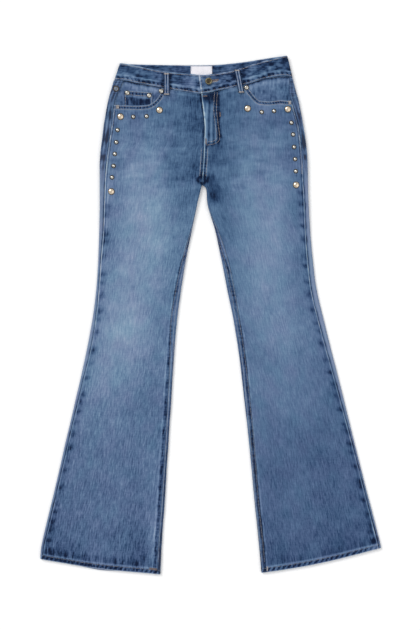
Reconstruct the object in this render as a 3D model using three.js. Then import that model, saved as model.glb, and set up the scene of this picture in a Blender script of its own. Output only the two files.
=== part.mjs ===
// Bootcut jeans laid flat, front up, as cloth walls with their studs, rivets and button.
// Millimetres. +Z is up, +Y runs towards the waist, the table is z = 0.
// "left" and "right" are the sides seen when looking down at the front.
import * as THREE from 'three';

// Cloth and seams
const CLOTH = 1.2; // one layer of denim
const DOUBLED = 2.4; // folded denim, as in the waistband and the hems
const GAP = 0.3; // between two pieces, at seams and between layers

// Heights of the flattened tubes
const SEAT_BASE = CLOTH + GAP; // the seat lies on its back pockets
const SEAT_HEIGHT = 6.1;
const LEG_HEIGHT = 5.2;
const HEM_HEIGHT = 6.2;
const BAND_BASE = 1.9; // the waistband lies on its back loops
const BAND_HEIGHT = 6.8;

// Levels up the garment
const CROTCH = { x: -17.6, y: 276 };
const HIP_LINE = 400; // level below the pocket mouths
const HEM_LEVEL = -535; // nominal, before the slant of each hem
const HEM_DEPTH = 11;
const HEM_SLANT_START = -330;

// Folded outer edge of each side, and how far in from it the outseam lies
const OUTER_EDGE = [
  { y: 550, left: -190, right: 158.4, leftSeam: 23, rightSeam: 8 },
  { y: 535, left: -194.6, right: 166, leftSeam: 23, rightSeam: 8 },
  { y: 500, left: -204.8, right: 174.7, leftSeam: 22, rightSeam: 9.5 },
  { y: 477, left: -211.4, right: 180.6, leftSeam: 17.5, rightSeam: 16 },
  { y: 456, left: -217.3, right: 186.3, leftSeam: 15.8, rightSeam: 17 },
  { y: 414, left: -224.9, right: 194.6, leftSeam: 18.5, rightSeam: 13 },
  { y: 371, left: -230.9, right: 201.4, leftSeam: 18.5, rightSeam: 12.5 },
  { y: 329, left: -234.9, right: 205.4, leftSeam: 16.8, rightSeam: 12.7 },
  { y: 287, left: -235.3, right: 206.7, leftSeam: 13.3, rightSeam: 12.2 },
  { y: 244, left: -235.3, right: 207.5, leftSeam: 12, rightSeam: 10.4 },
  { y: 181, left: -236.2, right: 211.2, leftSeam: 10.2, rightSeam: 11.2 },
  { y: 117, left: -238.5, right: 216.9, leftSeam: 7.2, rightSeam: 12.2 },
  { y: 53, left: -243, right: 225.1, leftSeam: 7.2, rightSeam: 12.8 },
  { y: -10, left: -251.2, right: 240.2, leftSeam: 8.6, rightSeam: 13.2 },
  { y: -74, left: -262.9, right: 255.7, leftSeam: 9.6, rightSeam: 11.4 },
  { y: -137, left: -276.7, right: 272, leftSeam: 8.2, rightSeam: 10 },
  { y: -265, left: -306.6, right: 303.8, leftSeam: 7.5, rightSeam: 7.2 },
  { y: -392, left: -336, right: 336, leftSeam: 7.4, rightSeam: 6.6 },
  { y: -487, left: -358.6, right: 360.4, leftSeam: 7.4, rightSeam: 6.6 },
  { y: -520, left: -361.9, right: 361.9, leftSeam: 7.4, rightSeam: 6.6 },
];

// Folded inner edge of each leg below the crotch, and the inseam's distance round from it
const INNER_EDGE = [
  { y: 276, left: -17.6, right: -17.6, leftSeam: 0, rightSeam: 0 },
  { y: 272, left: -19.3, right: -12, leftSeam: 0, rightSeam: 0 },
  { y: 266, left: -20.8, right: -9.4, leftSeam: 0, rightSeam: 0 },
  { y: 256, left: -23.2, right: -8.5, leftSeam: 0, rightSeam: 0 },
  { y: 244, left: -26.3, right: -7.6, leftSeam: 0, rightSeam: 1 },
  { y: 230, left: -29.4, right: -5.4, leftSeam: 0.5, rightSeam: 2.4 },
  { y: 212, left: -33.2, right: -0.3, leftSeam: 1, rightSeam: 4 },
  { y: 181, left: -39.6, right: 9.2, leftSeam: 4, rightSeam: 8.5 },
  { y: 117, left: -52.2, right: 23, leftSeam: 10, rightSeam: 16 },
  { y: 53, left: -62.5, right: 35.4, leftSeam: 14, rightSeam: 17.5 },
  { y: -10, left: -71, right: 48.3, leftSeam: 15.2, rightSeam: 15 },
  { y: -74, left: -76.5, right: 58.9, leftSeam: 11.6, rightSeam: 14.6 },
  { y: -137, left: -80.6, right: 66.6, leftSeam: 9.6, rightSeam: 14.4 },
  { y: -265, left: -89, right: 80.6, leftSeam: 7.9, rightSeam: 13.6 },
  { y: -392, left: -97.1, right: 92.9, leftSeam: 7.8, rightSeam: 11.2 },
  { y: -487, left: -103.5, right: 102.4, leftSeam: 9, rightSeam: 11.8 },
  { y: -550, left: -106.6, right: 108, leftSeam: 9.6, rightSeam: 12.1 },
];

// Waistband edges along the front and along the back
const FRONT_WAIST = [
  { x: -205, top: 536, seam: 499 },
  { x: -180, top: 532.6, seam: 497.2 },
  { x: -150, top: 526.8, seam: 490.6 },
  { x: -118, top: 520, seam: 485.5 },
  { x: -85, top: 515, seam: 478.6 },
  { x: -40, top: 511.2, seam: 471.6 },
  { x: -15, top: 508.6, seam: 469.8 },
  { x: 15, top: 512.3, seam: 475.8 },
  { x: 46, top: 518, seam: 482.4 },
  { x: 76, top: 527.6, seam: 489.4 },
  { x: 103, top: 536, seam: 497.6 },
  { x: 131, top: 543, seam: 504.6 },
  { x: 158, top: 549.5, seam: 507.5 },
  { x: 175, top: 549.5, seam: 503 },
];
const BACK_WAIST = [
  { x: -205, top: 535.6, seam: 499 },
  { x: -170, top: 532.5, seam: 496 },
  { x: -85, top: 530.4, seam: 492.5 },
  { x: 4, top: 530.4, seam: 492 },
  { x: 71, top: 536.8, seam: 497 },
  { x: 110, top: 543, seam: 501 },
  { x: 139, top: 547.4, seam: 504 },
  { x: 158, top: 549.5, seam: 504.6 },
  { x: 175, top: 549.5, seam: 503 },
];

// Lower edges of the two legs
const HEM_LINE = {
  left: [
    { x: -362, y: -517 },
    { x: -314, y: -525.3 },
    { x: -263, y: -533.8 },
    { x: -212, y: -540.2 },
    { x: -162, y: -544.6 },
    { x: -106, y: -549.5 },
  ],
  right: [
    { x: 107, y: -546.5 },
    { x: 152, y: -540.2 },
    { x: 203, y: -531.7 },
    { x: 254, y: -521.1 },
    { x: 305, y: -508.4 },
    { x: 362, y: -493.5 },
  ],
};
const BACK_HEM_PEEK = { x: -235, reach: 55, drop: 3 }; // the back hem shows below the left front

// Pocket mouths, from the outseam to the waist seam
const POCKET_MOUTH = {
  left: [
    { x: -203.5, y: 445.6 },
    { x: -180, y: 445 },
    { x: -156, y: 444.4 },
    { x: -142, y: 444.8 },
    { x: -131.4, y: 446.4 },
    { x: -122, y: 451.5 },
    { x: -114.5, y: 458.6 },
    { x: -108.5, y: 467.5 },
    { x: -104, y: 482.4 },
  ],
  right: [
    { x: 168, y: 454.4 },
    { x: 146, y: 456.2 },
    { x: 128, y: 454 },
    { x: 112, y: 454.2 },
    { x: 104, y: 455.4 },
    { x: 97, y: 460.8 },
    { x: 89, y: 469.8 },
    { x: 81.5, y: 480 },
    { x: 76, y: 489.2 },
  ],
};

// Centre front: the fly's edge down to its foot, then the centre seam to the crotch
const FLY_EDGE = [
  { y: 475, x: -20 },
  { y: 452, x: -17.6 },
  { y: 425, x: -13.4 },
  { y: 395, x: -12.4 },
  { y: 360, x: -13.6 },
  { y: 330, x: -14.8 },
  { y: 300, x: -17 },
  { y: 276, x: -17.6 },
];
const FLY = { foot: 350, lift: CLOTH + GAP, underlap: 8, ramp: 26 };

// Band overlap at the front fastening
const BAND_END = { over: -25.5, under: 12, lift: DOUBLED + GAP, ramp: 46 };
const BAND_STEPS = 22;

// Yoke seam on the seat: a shallow V at the centre back
const YOKE_SEAM = [
  { x: -236, y: 461 },
  { x: -214, y: 461 },
  { x: -17, y: 427 },
  { x: 184, y: 465 },
  { x: 206, y: 465 },
];
const CENTRE_BACK = -17;

// Largest soft folds on the front, as ridges (+) and troughs (-)
const FOLDS = [
  { name: 'fly ridge', side: 'right', x1: 2, y1: 450, x2: 6, y2: 375, width: 14, height: 1.1 },
  { name: 'crotch trough', side: 'right', x1: 0, y1: 300, x2: 18, y2: 226, width: 15, height: -1.4 },
  { name: 'crotch lump', side: 'left', x1: -38, y1: 296, x2: -26, y2: 284, width: 9, height: 0.8 },
  { name: 'left thigh whisker', side: 'left', x1: -62, y1: 300, x2: -150, y2: 330, width: 18, height: 0.7 },
  { name: 'right thigh whisker', side: 'right', x1: 36, y1: 312, x2: 120, y2: 334, width: 18, height: 0.7 },
  { name: 'left knee fold', side: 'left', x1: -120, y1: -20, x2: -220, y2: -50, width: 24, height: 0.7 },
  { name: 'right knee fold', side: 'right', x1: 90, y1: -60, x2: 190, y2: -30, width: 24, height: 0.7 },
];

// Metal trim: centre of each piece
const BIG_STUDS = [
  { side: 'left', x: -108.3, y: 434.6 },
  { side: 'left', x: -190.8, y: 420.8 },
  { side: 'left', x: -210.3, y: 262 },
  { side: 'right', x: 78.4, y: 438 },
  { side: 'right', x: 163.7, y: 436.5 },
  { side: 'right', x: 181.3, y: 276 },
];
const SMALL_STUDS = [
  { side: 'left', x: -163.9, y: 420.4 },
  { side: 'left', x: -135.7, y: 421.5 },
  { side: 'left', x: -197.2, y: 392.4 },
  { side: 'left', x: -199.9, y: 366.5 },
  { side: 'left', x: -202.9, y: 341.7 },
  { side: 'left', x: -205.6, y: 316.3 },
  { side: 'left', x: -209, y: 292.1 },
  { side: 'right', x: 108.3, y: 430.4 },
  { side: 'right', x: 134.4, y: 432.7 },
  { side: 'right', x: 171.3, y: 407.9 },
  { side: 'right', x: 174.9, y: 382.9 },
  { side: 'right', x: 176.8, y: 356.4 },
  { side: 'right', x: 179.1, y: 330.7 },
  { side: 'right', x: 180.4, y: 305.1 },
];
const BIG_STUD = { radius: 6.8, rise: 4.1 };
const SMALL_STUD = { radius: 4.9, rise: 2.8 };
const RIVET = { radius: 4.8, rise: 1.6 };
const RING_RIVET = { x: -200.4, y: 480, radius: 6.6 };
const BUTTON = { x: -4, y: 495, radius: 8.5, shank: 4 };

const materials = {
  denim: { color: 0x5f7fa8, roughness: 0.9, metalness: 0 },
  label: { color: 0xe9e7e1, roughness: 0.8, metalness: 0 },
  brass: { color: 0x8f7650, roughness: 0.4, metalness: 1 },
  nickel: { color: 0xb9babb, roughness: 0.3, metalness: 1 },
  tape: { color: 0x2b3850, roughness: 0.9, metalness: 0 },
};

const garment = new THREE.Group();
garment.name = 'bootcut_jeans';

function add(name, geometry, slot, place = {}) {
  const mesh = new THREE.Mesh(geometry, new THREE.MeshStandardMaterial(materials[slot]));
  mesh.name = name;
  mesh.position.set(place.x ?? 0, place.y ?? 0, place.z ?? 0);
  mesh.rotation.x = place.tip ?? 0;
  garment.add(mesh);
}

// ---- small helpers ----

const lerp = (a, b, t) => a + (b - a) * t;
const steps = (count) => Array.from({ length: count + 1 }, (_, i) => i / count);
const smooth = (low, high, value) => THREE.MathUtils.smoothstep(value, low, high);

// A smooth curve through one column of a table, against another column
function curveOf(table, along, column) {
  const knots = [...table].sort((a, b) => a[along] - b[along]);
  const slope = (i) => {
    const before = knots[Math.max(i - 1, 0)];
    const after = knots[Math.min(i + 1, knots.length - 1)];
    return (after[column] - before[column]) / (after[along] - before[along]);
  };
  return (value) => {
    const last = knots.length - 2;
    const found = knots.findIndex((knot, i) => i > 0 && value < knot[along]);
    const i = found < 0 ? last : Math.min(Math.max(found - 1, 0), last);
    const span = knots[i + 1][along] - knots[i][along];
    const t = THREE.MathUtils.clamp((value - knots[i][along]) / span, 0, 1);
    const rise = knots[i + 1][column] - knots[i][column];
    const startPull = slope(i) * span - rise;
    const endPull = rise - slope(i + 1) * span;
    return lerp(knots[i][column], knots[i + 1][column], t)
      + t * (1 - t) * ((1 - t) * startPull + t * endPull);
  };
}

// Points at even fractions along a run of {x, y} corners
function alongRun(run, count) {
  const path = new THREE.CurvePath();
  const corners = run.map((corner) => new THREE.Vector2(corner.x, corner.y));
  corners.slice(1).forEach((corner, i) => path.add(new THREE.LineCurve(corners[i], corner)));
  return steps(count).map((t) => path.getPointAt(t));
}

// A closed wall from a grid of {face, back} points, turned so that its faces point out
function closedWall(rows) {
  const rowCount = rows.length;
  const columnCount = rows[0].length;
  const layer = rowCount * columnCount;
  const corners = [];
  for (const key of ['face', 'back']) {
    rows.forEach((row) => row.forEach((point) => corners.push(...point[key])));
  }
  const at = (side, i, j) => side * layer + i * columnCount + j;
  const index = [];
  const quad = (a, b, c, d) => index.push(a, b, c, a, c, d);
  for (let i = 0; i < rowCount - 1; i += 1) {
    for (let j = 0; j < columnCount - 1; j += 1) {
      quad(at(0, i, j), at(0, i + 1, j), at(0, i + 1, j + 1), at(0, i, j + 1));
      quad(at(1, i, j), at(1, i, j + 1), at(1, i + 1, j + 1), at(1, i + 1, j));
    }
    const end = columnCount - 1;
    quad(at(0, i, 0), at(1, i, 0), at(1, i + 1, 0), at(0, i + 1, 0));
    quad(at(0, i, end), at(0, i + 1, end), at(1, i + 1, end), at(1, i, end));
  }
  for (let j = 0; j < columnCount - 1; j += 1) {
    const end = rowCount - 1;
    quad(at(0, 0, j), at(0, 0, j + 1), at(1, 0, j + 1), at(1, 0, j));
    quad(at(0, end, j), at(1, end, j), at(1, end, j + 1), at(0, end, j + 1));
  }
  const corner = (i) => new THREE.Vector3().fromArray(corners, i * 3);
  let volume = 0;
  for (let i = 0; i < index.length; i += 3) {
    const [a, b, c] = [corner(index[i]), corner(index[i + 1]), corner(index[i + 2])];
    volume += a.dot(b.cross(c));
  }
  if (volume < 0) index.reverse();
  const geometry = new THREE.BufferGeometry();
  geometry.setAttribute('position', new THREE.Float32BufferAttribute(corners, 3));
  geometry.setIndex(index);
  return geometry;
}

// ---- the garment's form ----

const outline = {};
for (const side of ['left', 'right']) {
  outline[side] = {
    outer: curveOf(OUTER_EDGE, 'y', side),
    outseam: curveOf(OUTER_EDGE, 'y', `${side}Seam`),
    inner: curveOf(INNER_EDGE, 'y', side),
    inseam: curveOf(INNER_EDGE, 'y', `${side}Seam`),
    hem: curveOf(HEM_LINE[side], 'x', 'y'),
  };
}
const frontTop = curveOf(FRONT_WAIST, 'x', 'top');
const frontSeam = curveOf(FRONT_WAIST, 'x', 'seam');
const backTop = curveOf(BACK_WAIST, 'x', 'top');
const backSeam = curveOf(BACK_WAIST, 'x', 'seam');
const flyEdge = curveOf(FLY_EDGE, 'y', 'x');
const sideSign = { left: -1, right: 1 };
const otherSide = { left: 'right', right: 'left' };

function yokeSeam(x) {
  const next = YOKE_SEAM.findIndex((knot, i) => i > 0 && x <= knot.x);
  const i = next < 0 ? YOKE_SEAM.length - 1 : next;
  const [a, b] = [YOKE_SEAM[i - 1], YOKE_SEAM[i]];
  return lerp(a.y, b.y, (x - a.x) / (b.x - a.x));
}

const baseAt = (y) => SEAT_BASE * smooth(150, 240, y);
const heightAt = (y) => lerp(LEG_HEIGHT, SEAT_HEIGHT, smooth(150, 240, y))
  + (HEM_HEIGHT - LEG_HEIGHT) * (1 - smooth(HEM_LEVEL + 20, HEM_LEVEL + 90, y));

// Soft ridges and troughs on the front at one place
function foldRelief(side, x, y) {
  const here = new THREE.Vector3(x, y, 0);
  const nearest = new THREE.Vector3();
  return FOLDS.filter((fold) => fold.side === side).reduce((sum, fold) => {
    const start = new THREE.Vector3(fold.x1, fold.y1, 0);
    const line = new THREE.Line3(start, new THREE.Vector3(fold.x2, fold.y2, 0));
    const away = line.closestPointToPoint(here, true, nearest).distanceTo(here) / fold.width;
    return sum + (away < 1 ? fold.height * Math.cos((away * Math.PI) / 2) ** 2 : 0);
  }, 0);
}

// Rise of the right front where the fly laps over the left
function flyLift(x, y) {
  const across = 1 - smooth(FLY.ramp * 0.35, FLY.ramp, x - flyEdge(y));
  return FLY.lift * across * smooth(FLY.foot - 16, FLY.foot - 2, y);
}

function frontHeight(side, x, y) {
  const lift = side === 'right' ? flyLift(x, y) : 0;
  return baseAt(y) + heightAt(y) + foldRelief(side, x, y) + lift;
}

// The flattened tube of cloth at one level, in the frame where its outer fold is on the right.
// Near a slanted hem its inner fold lies at another level than its outer one.
function tubeAt(side, y, innerY = y) {
  const sign = sideSign[side];
  const below = y <= CROTCH.y - 0.5;
  const inner = below ? outline[side].inner(innerY) : outline[otherSide[side]].outer(y);
  const tube = { side, inner: sign * inner, outer: sign * outline[side].outer(y) };
  tube.base = baseAt(y);
  tube.radius = heightAt(y) / 2;
  tube.quarter = (Math.PI * tube.radius) / 2;
  tube.half = tube.outer - tube.inner - 2 * tube.radius + 2 * tube.quarter;
  return tube;
}

// Place on a tube: arc is measured from its inner fold, over the top, round the outer fold and back
function onTube(tube, arc, depth) {
  const turned = THREE.MathUtils.euclideanModulo(arc, 2 * tube.half);
  const over = turned <= tube.half;
  const along = over ? turned : 2 * tube.half - turned;
  const reach = tube.radius - depth;
  let across = tube.inner + tube.radius + along - tube.quarter;
  let lift = reach;
  if (along < tube.quarter) {
    const angle = along / tube.radius;
    across = tube.inner + tube.radius - reach * Math.cos(angle);
    lift = reach * Math.sin(angle);
  } else if (along > tube.half - tube.quarter) {
    const angle = (tube.half - along) / tube.radius;
    across = tube.outer - tube.radius + reach * Math.cos(angle);
    lift = reach * Math.sin(angle);
  }
  const flat = along >= tube.quarter && along <= tube.half - tube.quarter;
  const z = tube.base + tube.radius + (over ? lift : -lift);
  const share = (z - tube.base) / (2 * tube.radius); // 0 on the table, 1 on top
  return { x: sideSign[tube.side] * across, z, over, flat, share };
}

const arcOfTop = (tube, x) => tube.quarter + sideSign[tube.side] * x - tube.inner - tube.radius;
const arcOfUnder = (tube, x) => 2 * tube.half - arcOfTop(tube, x);
const outseamArc = (tube, y) => tube.half - outline[tube.side].outseam(y);

// Slant of the rows near a hem, at one level
function slanted(side, level, x, over) {
  const share = 1 - smooth(HEM_LEVEL, HEM_SLANT_START, level);
  const peek = side === 'left' && !over
    ? BACK_HEM_PEEK.drop * (1 - smooth(0, BACK_HEM_PEEK.reach, Math.abs(x - BACK_HEM_PEEK.x)))
    : 0;
  return level + (outline[side].hem(x) - HEM_LEVEL - peek) * share;
}

// ---- front and back panels ----

const LEG_LEVELS = [268, 252, 226, 190, 140, 80, 20, -50, -130, -220, -320, -420, -480];
const SEAT_LEVELS = [HIP_LINE, 372, 348, 334, 318, 298, 277];
const HEM_LEVELS = [HEM_LEVEL + HEM_DEPTH + 1.5, HEM_LEVEL + HEM_DEPTH, HEM_LEVEL];
const LEVELS = [...SEAT_LEVELS, ...LEG_LEVELS, ...HEM_LEVELS];
const wallAt = (level) => (level <= HEM_LEVEL + HEM_DEPTH ? DOUBLED : CLOTH);
const MOUTH_COLUMNS = 8;
const WAIST_COLUMNS = 7;
const EDGE_COLUMNS = 3; // the last ones, at the fly or round the inner fold
const EDGE_WIDTH = 10;

// Where the left front runs on under the fly, the right front only meets the fly's edge
function centreFront(side, y) {
  const under = side === 'left' ? FLY.underlap * smooth(FLY.foot, FLY.foot + 15, y) : 0;
  return flyEdge(y) + under + sideSign[side] * (GAP / 2);
}

// Levels at which the folded edges of a leg's row lie, after the hem's slant
const edgeLevel = (side, level) => slanted(side, level, outline[side].outer(level), true);
const innerLevel = (side, level) => slanted(side, level, outline[side].inner(level), true);
const rowTube = (side, level) => tubeAt(side, edgeLevel(side, level), innerLevel(side, level));

function frontRow(side, level) {
  const tube = rowTube(side, level);
  const start = outseamArc(tube, level) - GAP / 2;
  const open = level > CROTCH.y;
  const end = open ? arcOfTop(tube, centreFront(side, level)) : outline[side].inseam(level) + GAP / 2;
  const turn = end < tube.quarter - 1 ? tube.quarter : end + EDGE_WIDTH;
  const broad = MOUTH_COLUMNS + WAIST_COLUMNS - EDGE_COLUMNS;
  const arcs = steps(broad).map((t) => lerp(start, turn, t));
  steps(EDGE_COLUMNS).slice(1).forEach((t) => arcs.push(lerp(turn, end, t)));
  const point = (arc, depth) => {
    const at = onTube(tube, arc, depth);
    const y = slanted(side, level, at.x, true);
    const relief = at.flat ? frontHeight(side, at.x, y) - baseAt(y) - heightAt(y) : 0;
    return [at.x, y, at.z + relief];
  };
  return arcs.map((arc) => ({ face: point(arc, 0), back: point(arc, wallAt(level)) }));
}

// Upper edge of a front: along the pocket mouth, then along the waist seam to the fly
function frontUpperEdge(side) {
  const sign = sideSign[side];
  const mouth = alongRun(POCKET_MOUTH[side], MOUTH_COLUMNS);
  const corner = mouth[MOUTH_COLUMNS];
  const end = centreFront(side, 470);
  const turn = end + sign * EDGE_WIDTH;
  const broad = steps(WAIST_COLUMNS - EDGE_COLUMNS).slice(1).map((t) => lerp(corner.x, turn, t));
  const narrow = steps(EDGE_COLUMNS).slice(1).map((t) => lerp(turn, end, t));
  const waist = [...broad, ...narrow].map((x) => new THREE.Vector2(x, frontSeam(x) - GAP));
  mouth[MOUTH_COLUMNS] = new THREE.Vector2(corner.x, frontSeam(corner.x) - GAP);
  mouth[0].x = outline[side].outer(mouth[0].y) - sign * (outline[side].outseam(mouth[0].y) - 1);
  return [...mouth, ...waist];
}

function frontPanel(side) {
  const upper = frontUpperEdge(side);
  const hip = frontRow(side, HIP_LINE);
  const mouthRows = [0, 0.3, 0.65].map((share) => upper.map((corner, j) => {
    const x = lerp(corner.x, hip[j].face[0], share);
    const y = lerp(corner.y, hip[j].face[1], share);
    const z = frontHeight(side, x, y);
    return { face: [x, y, z], back: [x, y, z - CLOTH] };
  }));
  return closedWall([...mouthRows, ...LEVELS.map((level) => frontRow(side, level))]);
}

// A back row runs from the outseam on top, round the outer fold, along the table
// and below the crotch round the inner fold to the inseam
function backArcs(tube, level, underColumns) {
  const start = outseamArc(tube, level) + GAP / 2;
  const seat = level > CROTCH.y;
  const end = seat
    ? arcOfUnder(tube, CENTRE_BACK + sideSign[tube.side] * (GAP / 2))
    : 2 * tube.half + outline[tube.side].inseam(level) - GAP / 2;
  const turnIn = seat ? end - 8 : 2 * tube.half - tube.quarter;
  const turnOut = end > 2 * tube.half + tube.quarter + 1 ? 2 * tube.half + tube.quarter : lerp(turnIn, end, 0.8);
  const outerFold = steps(4).map((t) => lerp(tube.half - tube.quarter, tube.half + tube.quarter, t));
  const under = steps(underColumns).slice(1).map((t) => lerp(tube.half + tube.quarter, turnIn, t));
  const innerFold = steps(4).slice(1).map((t) => lerp(turnIn, turnOut, t));
  return [start, ...outerFold, ...under, ...innerFold, end];
}

function backRow(side, level, heightOn, underColumns = 3) {
  const tube = rowTube(side, level);
  const point = (arc, depth) => {
    const at = onTube(tube, arc, depth);
    return [at.x, heightOn(at.x, at), at.z];
  };
  return backArcs(tube, level, underColumns).map((arc) => ({ face: point(arc, 0), back: point(arc, wallAt(level)) }));
}

function backPanel(side) {
  const yokeEnd = yokeSeam(outline[side].outer(461)) - GAP;
  const upper = [0, 0.5].map((share) => {
    const level = lerp(yokeEnd, HIP_LINE, share);
    return backRow(side, level, (x) => lerp(yokeSeam(x) - GAP, HIP_LINE, share));
  });
  const lower = LEVELS.map((level) => backRow(side, level, (x, at) => slanted(side, level, x, at.over)));
  return closedWall([...upper, ...lower]);
}

function yoke(side) {
  const foot = yokeSeam(outline[side].outer(461));
  const top = frontSeam(outline[side].outer(500));
  const rows = [0, 0.5, 1].map((share) => {
    const level = lerp(top - GAP, foot, share);
    const edge = (x, at) => lerp(backSeam(x) - GAP, frontSeam(x), at.share) - 2 * GAP;
    return backRow(side, level, (x, at) => lerp(edge(x, at), yokeSeam(x), share), 14);
  });
  return closedWall(rows);
}

// ---- waistband ----

// One doubled strip from the end under the fly, round the back, to the end that laps over
function waistband() {
  const bandTube = (y) => {
    const tube = tubeAt('right', y);
    tube.base = BAND_BASE;
    tube.radius = BAND_HEIGHT / 2;
    tube.quarter = (Math.PI * tube.radius) / 2;
    tube.half = tube.outer - tube.inner - 2 * tube.radius + 2 * tube.quarter;
    return tube;
  };
  const edges = [
    { tube: bandTube(542), front: frontTop, back: backTop },
    { tube: bandTube(502), front: frontSeam, back: backSeam },
  ];
  const runOf = (tube) => {
    const over = steps(BAND_STEPS).map((t) => lerp(arcOfTop(tube, BAND_END.over), tube.half - tube.quarter, t));
    const rightFold = steps(4).slice(1).map((t) => tube.half + tube.quarter * (2 * t - 1));
    const back = steps(BAND_STEPS).slice(1).map((t) => (
      lerp(tube.half + tube.quarter, 2 * tube.half - tube.quarter, t)
    ));
    const leftFold = steps(4).slice(1).map((t) => 2 * tube.half + tube.quarter * (2 * t - 1));
    const end = 2 * tube.half + arcOfTop(tube, BAND_END.under);
    const under = steps(BAND_STEPS).slice(1).map((t) => lerp(2 * tube.half + tube.quarter, end, t));
    return [...over, ...rightFold, ...back, ...leftFold, ...under];
  };
  const runs = edges.map((edge) => runOf(edge.tube));
  const rows = runs[0].map((_, i) => {
    const lapping = i <= BAND_STEPS;
    const point = (edge, arc, depth) => {
      const at = onTube(edge.tube, arc, depth);
      const share = at.flat ? Number(at.over) : at.share;
      const y = lerp(edge.back(at.x), edge.front(at.x), share);
      const lift = lapping ? 1 - smooth(BAND_END.under + 4, BAND_END.ramp, at.x) : 0;
      return [at.x, y, at.z + BAND_END.lift * lift];
    };
    return edges.map((edge, e) => ({
      face: point(edge, runs[e][i], 0),
      back: point(edge, runs[e][i], DOUBLED),
    }));
  });
  return closedWall(rows);
}

// ---- strips, patches and trim ----

// A flat patch between two x lines, from an upper to a lower edge
function patch({ from, to, upper, lower, top, wall, columns = 6, rows = 3 }) {
  const grid = steps(rows).map((down) => steps(columns).map((across) => {
    const x = lerp(from, to, across);
    const y = lerp(upper(x), lower(x), down);
    const z = top(x, y);
    return { face: [x, y, z], back: [x, y, z - wall] };
  }));
  return closedWall(grid);
}

// A belt loop: a strip along y over the band, bartacked at both ends
function beltLoop({ x, lean, top, foot }, profile, wall) {
  const rows = profile.map(({ share, z }) => {
    const y = lerp(foot, top, share);
    const middle = x + lean * (0.5 - share);
    return [-LOOP.width / 2, LOOP.width / 2].map((half) => ({
      face: [middle + half, y, z + wall],
      back: [middle + half, y, z],
    }));
  });
  return closedWall(rows);
}

const LOOP = { width: 12.4, wall: 1.6, bulge: 1.4 };
const bandFace = BAND_BASE + BAND_HEIGHT;
const panelFace = SEAT_BASE + SEAT_HEIGHT;
const frontLoopProfile = [
  { share: 0, z: panelFace + GAP },
  { share: 0.14, z: panelFace + GAP + 0.4 },
  { share: 0.26, z: bandFace + GAP + 0.5 },
  { share: 0.5, z: bandFace + GAP + LOOP.bulge },
  { share: 0.8, z: bandFace + GAP + 0.8 },
  { share: 1, z: bandFace + GAP },
];
const backLoopProfile = [{ share: 0, z: 0 }, { share: 0.5, z: 0 }, { share: 1, z: 0 }];
const FRONT_LOOPS = [
  { name: 'belt_loop_front_left', x: -93.2, lean: 0, top: 513, foot: 466 },
  { name: 'belt_loop_front_right', x: 60.6, lean: 9.5, top: 520, foot: 470.5 },
];
const BACK_LOOPS = [
  { name: 'belt_loop_back_centre', x: CENTRE_BACK, lean: 0, top: 529, foot: 484 },
  { name: 'belt_loop_back_left', x: -128, lean: 0, top: 530, foot: 486 },
  { name: 'belt_loop_back_right', x: 96, lean: 0, top: 539, foot: 492 },
];

// Back pocket: five-sided, lying on the table below the seat
function backPocket() {
  const half = 74;
  const shape = new THREE.Shape();
  shape.moveTo(-half, 0);
  shape.lineTo(half, 0);
  shape.lineTo(half - 8, -128);
  shape.lineTo(0, -158);
  shape.lineTo(-half + 8, -128);
  shape.closePath();
  return new THREE.ExtrudeGeometry(shape, { depth: CLOTH, bevelEnabled: false });
}

// Round metal trim from a half profile of [radius, height] pairs
function turned(profile, segments = 12) {
  return new THREE.LatheGeometry(profile.map(([r, h]) => new THREE.Vector2(r, h)), segments);
}

const upright = Math.PI / 2; // a turned piece stands along y until it is tipped up
const bigStud = () => turned([[0, 0], [BIG_STUD.radius, 0], [BIG_STUD.radius, 0.8], [4.6, 3], [0, BIG_STUD.rise]]);
const smallStud = () => turned([[0, 0], [SMALL_STUD.radius, 0], [3.2, 1.5], [0, SMALL_STUD.rise]], 10);
const rivet = () => turned([[0, 0], [RIVET.radius, 0], [RIVET.radius - 0.6, 1], [0, RIVET.rise]], 10);

// ---- the pieces ----

for (const side of ['left', 'right']) {
  add(`front_${side}`, frontPanel(side), 'denim');
  add(`back_${side}`, backPanel(side), 'denim');
  add(`yoke_${side}`, yoke(side), 'denim');
}
add('waistband', waistband(), 'denim');

// Pocket facings lie one layer below the fronts, and the left one below the coin pocket too
const facingFace = panelFace - CLOTH - GAP;
const sunkFace = facingFace - CLOTH - GAP;
const belowBand = (x) => Math.min(frontSeam(x), backSeam(x)) - 2 * GAP;
add('pocket_facing_left', patch({
  from: -191, to: -88, wall: 1.1, columns: 12,
  upper: belowBand,
  lower: () => 424,
  top: () => sunkFace,
}), 'denim');
add('pocket_facing_right', patch({
  from: 60, to: 161, wall: 1.1, columns: 12,
  upper: belowBand,
  lower: () => 432,
  top: () => facingFace,
}), 'denim');
const coinUpper = (x) => lerp(477.5, 473, (x + 183) / 60);
add('coin_pocket', patch({
  from: -183, to: -123, wall: CLOTH, columns: 2, rows: 1,
  upper: coinUpper,
  lower: () => 426,
  top: () => facingFace,
}), 'denim');

for (const loop of FRONT_LOOPS) {
  add(loop.name, beltLoop(loop, frontLoopProfile, LOOP.wall), 'denim');
}
for (const loop of BACK_LOOPS) {
  add(loop.name, beltLoop(loop, backLoopProfile, CLOTH), 'denim');
}
add('back_pocket_left', backPocket(), 'denim', { x: -122, y: 428 });
add('back_pocket_right', backPocket(), 'denim', { x: 92, y: 430 });

add('fly_zip', patch({
  from: -30, to: -4, wall: CLOTH, columns: 2, rows: 2,
  upper: () => 463,
  lower: () => 358,
  top: () => panelFace - CLOTH - GAP,
}), 'tape');
add('neck_label', patch({
  from: -42, to: 3.2, wall: 1, columns: 2, rows: 1,
  upper: () => 527.9,
  lower: () => 503,
  top: () => BAND_BASE + DOUBLED + GAP + 1,
}), 'label');

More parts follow.
